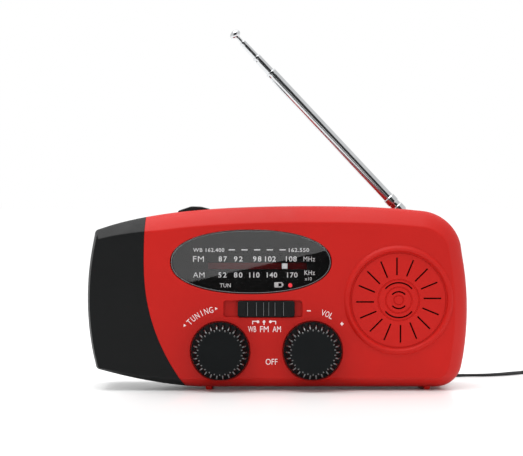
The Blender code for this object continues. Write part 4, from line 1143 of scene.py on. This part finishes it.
def smooth_route(points, spacing):
    ends = [2 * Vector(points[0]) - Vector(points[1])] + [Vector(p) for p in points]
    ends.append(2 * ends[-1] - ends[-2])
    samples = []
    for i in range(1, len(ends) - 2):
        a, b, c, d = ends[i - 1:i + 3]
        steps = max(2, round((c - b).length / spacing))
        for k in range(steps):
            t = k / steps
            samples.append(0.5 * (2 * b + (c - a) * t + (2 * a - 5 * b + 4 * c - d) * t * t
                                  + (3 * b - a - 3 * c + d) * t ** 3))
    samples.append(Vector(points[-1]))
    for sample in samples:
        sample.z = max(sample.z, STRAP_RADIUS)
    return samples


def coil_points():
    """Four turns inwards on the floor, then four outwards on top of them."""
    outer, inner, turns, start = 7.6, 4.75, 4, math.radians(235)
    steps = 30 * turns

    def place(i, first, last, height):
        t = i / steps
        radius = first + (last - first) * t
        angle = start + 2 * math.pi * turns * t
        return Vector((COIL[0] + radius * math.cos(angle), COIL[1] + radius * math.sin(angle), height))

    below = [place(i, outer, inner, 0.5) for i in range(steps + 1)]
    return below + [place(i, inner, outer, 0.5 + 0.98 * min(1.0, i / 8)) for i in range(1, steps - 4)]


def strand(name, points):
    """A round cord through points in millimetres."""
    curve = bpy.data.curves.new(name, "CURVE")
    curve.dimensions = "3D"
    curve.bevel_depth = STRAP_RADIUS * MM
    curve.bevel_resolution = 3
    spline = curve.splines.new("POLY")
    spline.points.add(len(points) - 1)
    for point, place in zip(spline.points, points):
        point.co = (*(place * MM), 1.0)
    return link(name, curve)


def strap():
    """The cord from strand B's end on the bar to the coil, round it and back along strand A."""
    a, b = smooth_route(STRAND_A, 0.9), smooth_route(STRAND_B, 0.9)
    points = b + coil_points() + a[::-1]
    length = sum((q - p).length for p, q in zip(points, points[1:])) * MM
    cord = strand("strap_cord", points)
    cord.data.use_fill_caps = True
    cord.data.materials.append(LOOK["strap_black"])
    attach(cord, "case")
    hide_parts("strap_strand_a", "strap_strand_b", "strap_coil")
    hitch = strap_hitch()
    tuple(Vector(STRAND_B[0]) * MM)


def strap_hitch():
    """The two turns of the strap that pass round the bar."""
    y, z = STRAP_BAR[1:]
    turns = []
    for k, route in enumerate((STRAND_A, STRAND_B)):
        angles = [math.radians(degrees) for degrees in run(-60, 180, 20)]
        points = [Vector((route[0][0], y + 1.16 * math.sin(a), z + 1.16 * math.cos(a))) for a in angles]
        turns.append(strand(f"turn_{k}", points))
    return finish_piece(merge("strap_turns", turns), "strap_black", "case")


# ---- what stays from the CAD model

def dress_nodes():
    """Gives each CAD node the finish of its material slot."""
    slots = {row["node"]: row["material_slot"] for row in frame["record"]["subparts"]}
    for name, node in frame["nodes"].items():
        node.data.materials.clear()
        node.data.materials.append(LOOK[slots[name]])


# ---- studio

def stage():
    """The pale floor, and a black card behind the camera that only shows in reflections."""
    work = bmesh.new()
    half = 6.0
    bmesh.ops.create_grid(work, x_segments=2, y_segments=2, size=half)
    floor = from_bmesh("floor", work)
    floor.location = (0, half - TABLE_EDGE, -0.00002)
    tree = Tree("studio_floor")
    tree.wire(base_color=tree.ramp(tree.noise(3, 2), (0.90, 0.90, 0.90), (0.92, 0.92, 0.92)),
              roughness=tree.spread(tree.noise(5, 2), 0.22, 0.28))
    floor.data.materials.append(tree.material)
    flag = block("black_flag", (-680, 680), (-752, -750), (-560, 820))
    flag.visible_camera = False
    flag.visible_diffuse = False
    flag.visible_shadow = False
    shade = Tree("flag_cloth")
    shade.wire(base_color=shade.ramp(shade.noise(40, 2), (0.02, 0.02, 0.02), (0.03, 0.03, 0.03)))
    shade.set(roughness=0.95)
    flag.data.materials.append(shade.material)
    world = bpy.data.worlds.new("studio")
    bpy.context.scene.world = world
    world.use_nodes = True
    background = world.node_tree.nodes["Background"]
    background.inputs["Color"].default_value = (1, 1, 1, 1)
    background.inputs["Strength"].default_value = 1.0
    bpy.context.scene.view_settings.view_transform = "Standard"


def area_light(name, size, power):
    data = bpy.data.lights.new(name, "AREA")
    data.shape = "RECTANGLE"
    data.size, data.size_y = size
    data.energy = power
    return link(name, data)


def lights():
    place, target = Vector((-0.20, -0.12, 0.95)), Vector((0, 0, 0.03))
    overhead = area_light("overhead", (0.8, 0.7), 6.2)
    overhead.location = place
    overhead.rotation_euler = (target - place).to_track_quat("-Z", "Y").to_euler()
    glow = bpy.data.lights.new("ceiling", "SUN")
    glow.energy = 0.9
    glow.angle = math.radians(80)
    link("ceiling", glow).rotation_euler = (math.radians(-12), 0, 0)
    window_sheen()


def window_sheen():
    """A small lamp over the camera whose slanting lower edge is mirrored by the dial window."""
    low, high = Vector((-55.4, 7.5)), Vector((38.1, 29.0))
    slope = math.atan2(high.y - low.y, high.x - low.x)
    size = Vector((200, 70))
    middle = (low + high) / 2 + Vector((-math.sin(slope), math.cos(slope))) * size.y / 2
    light = area_light("window_sheen", size * MM, 0.046)
    light.matrix_world = (Matrix.Translation(Vector((middle.x, -740, middle.y)) * MM)
                          @ Matrix.Rotation(-slope, 4, "Y") @ Matrix.Rotation(math.pi / 2, 4, "X"))


# ---- build

make_camera()
LOOK = make_materials()
strap()
dress_nodes()
front_case()
rear_case()
end_case()
torch()
torch_button()
dial_window()
dial_print()
pointer()
knob("tuning_dial", TUNING, "tuning", "tuning_knob")
knob("volume_dial", VOLUME, "volume", "volume_knob")
slider()
case_print()
speaker()
solar()
rubber_cover()
screws()
crank()
aerial()
stage()
lights()
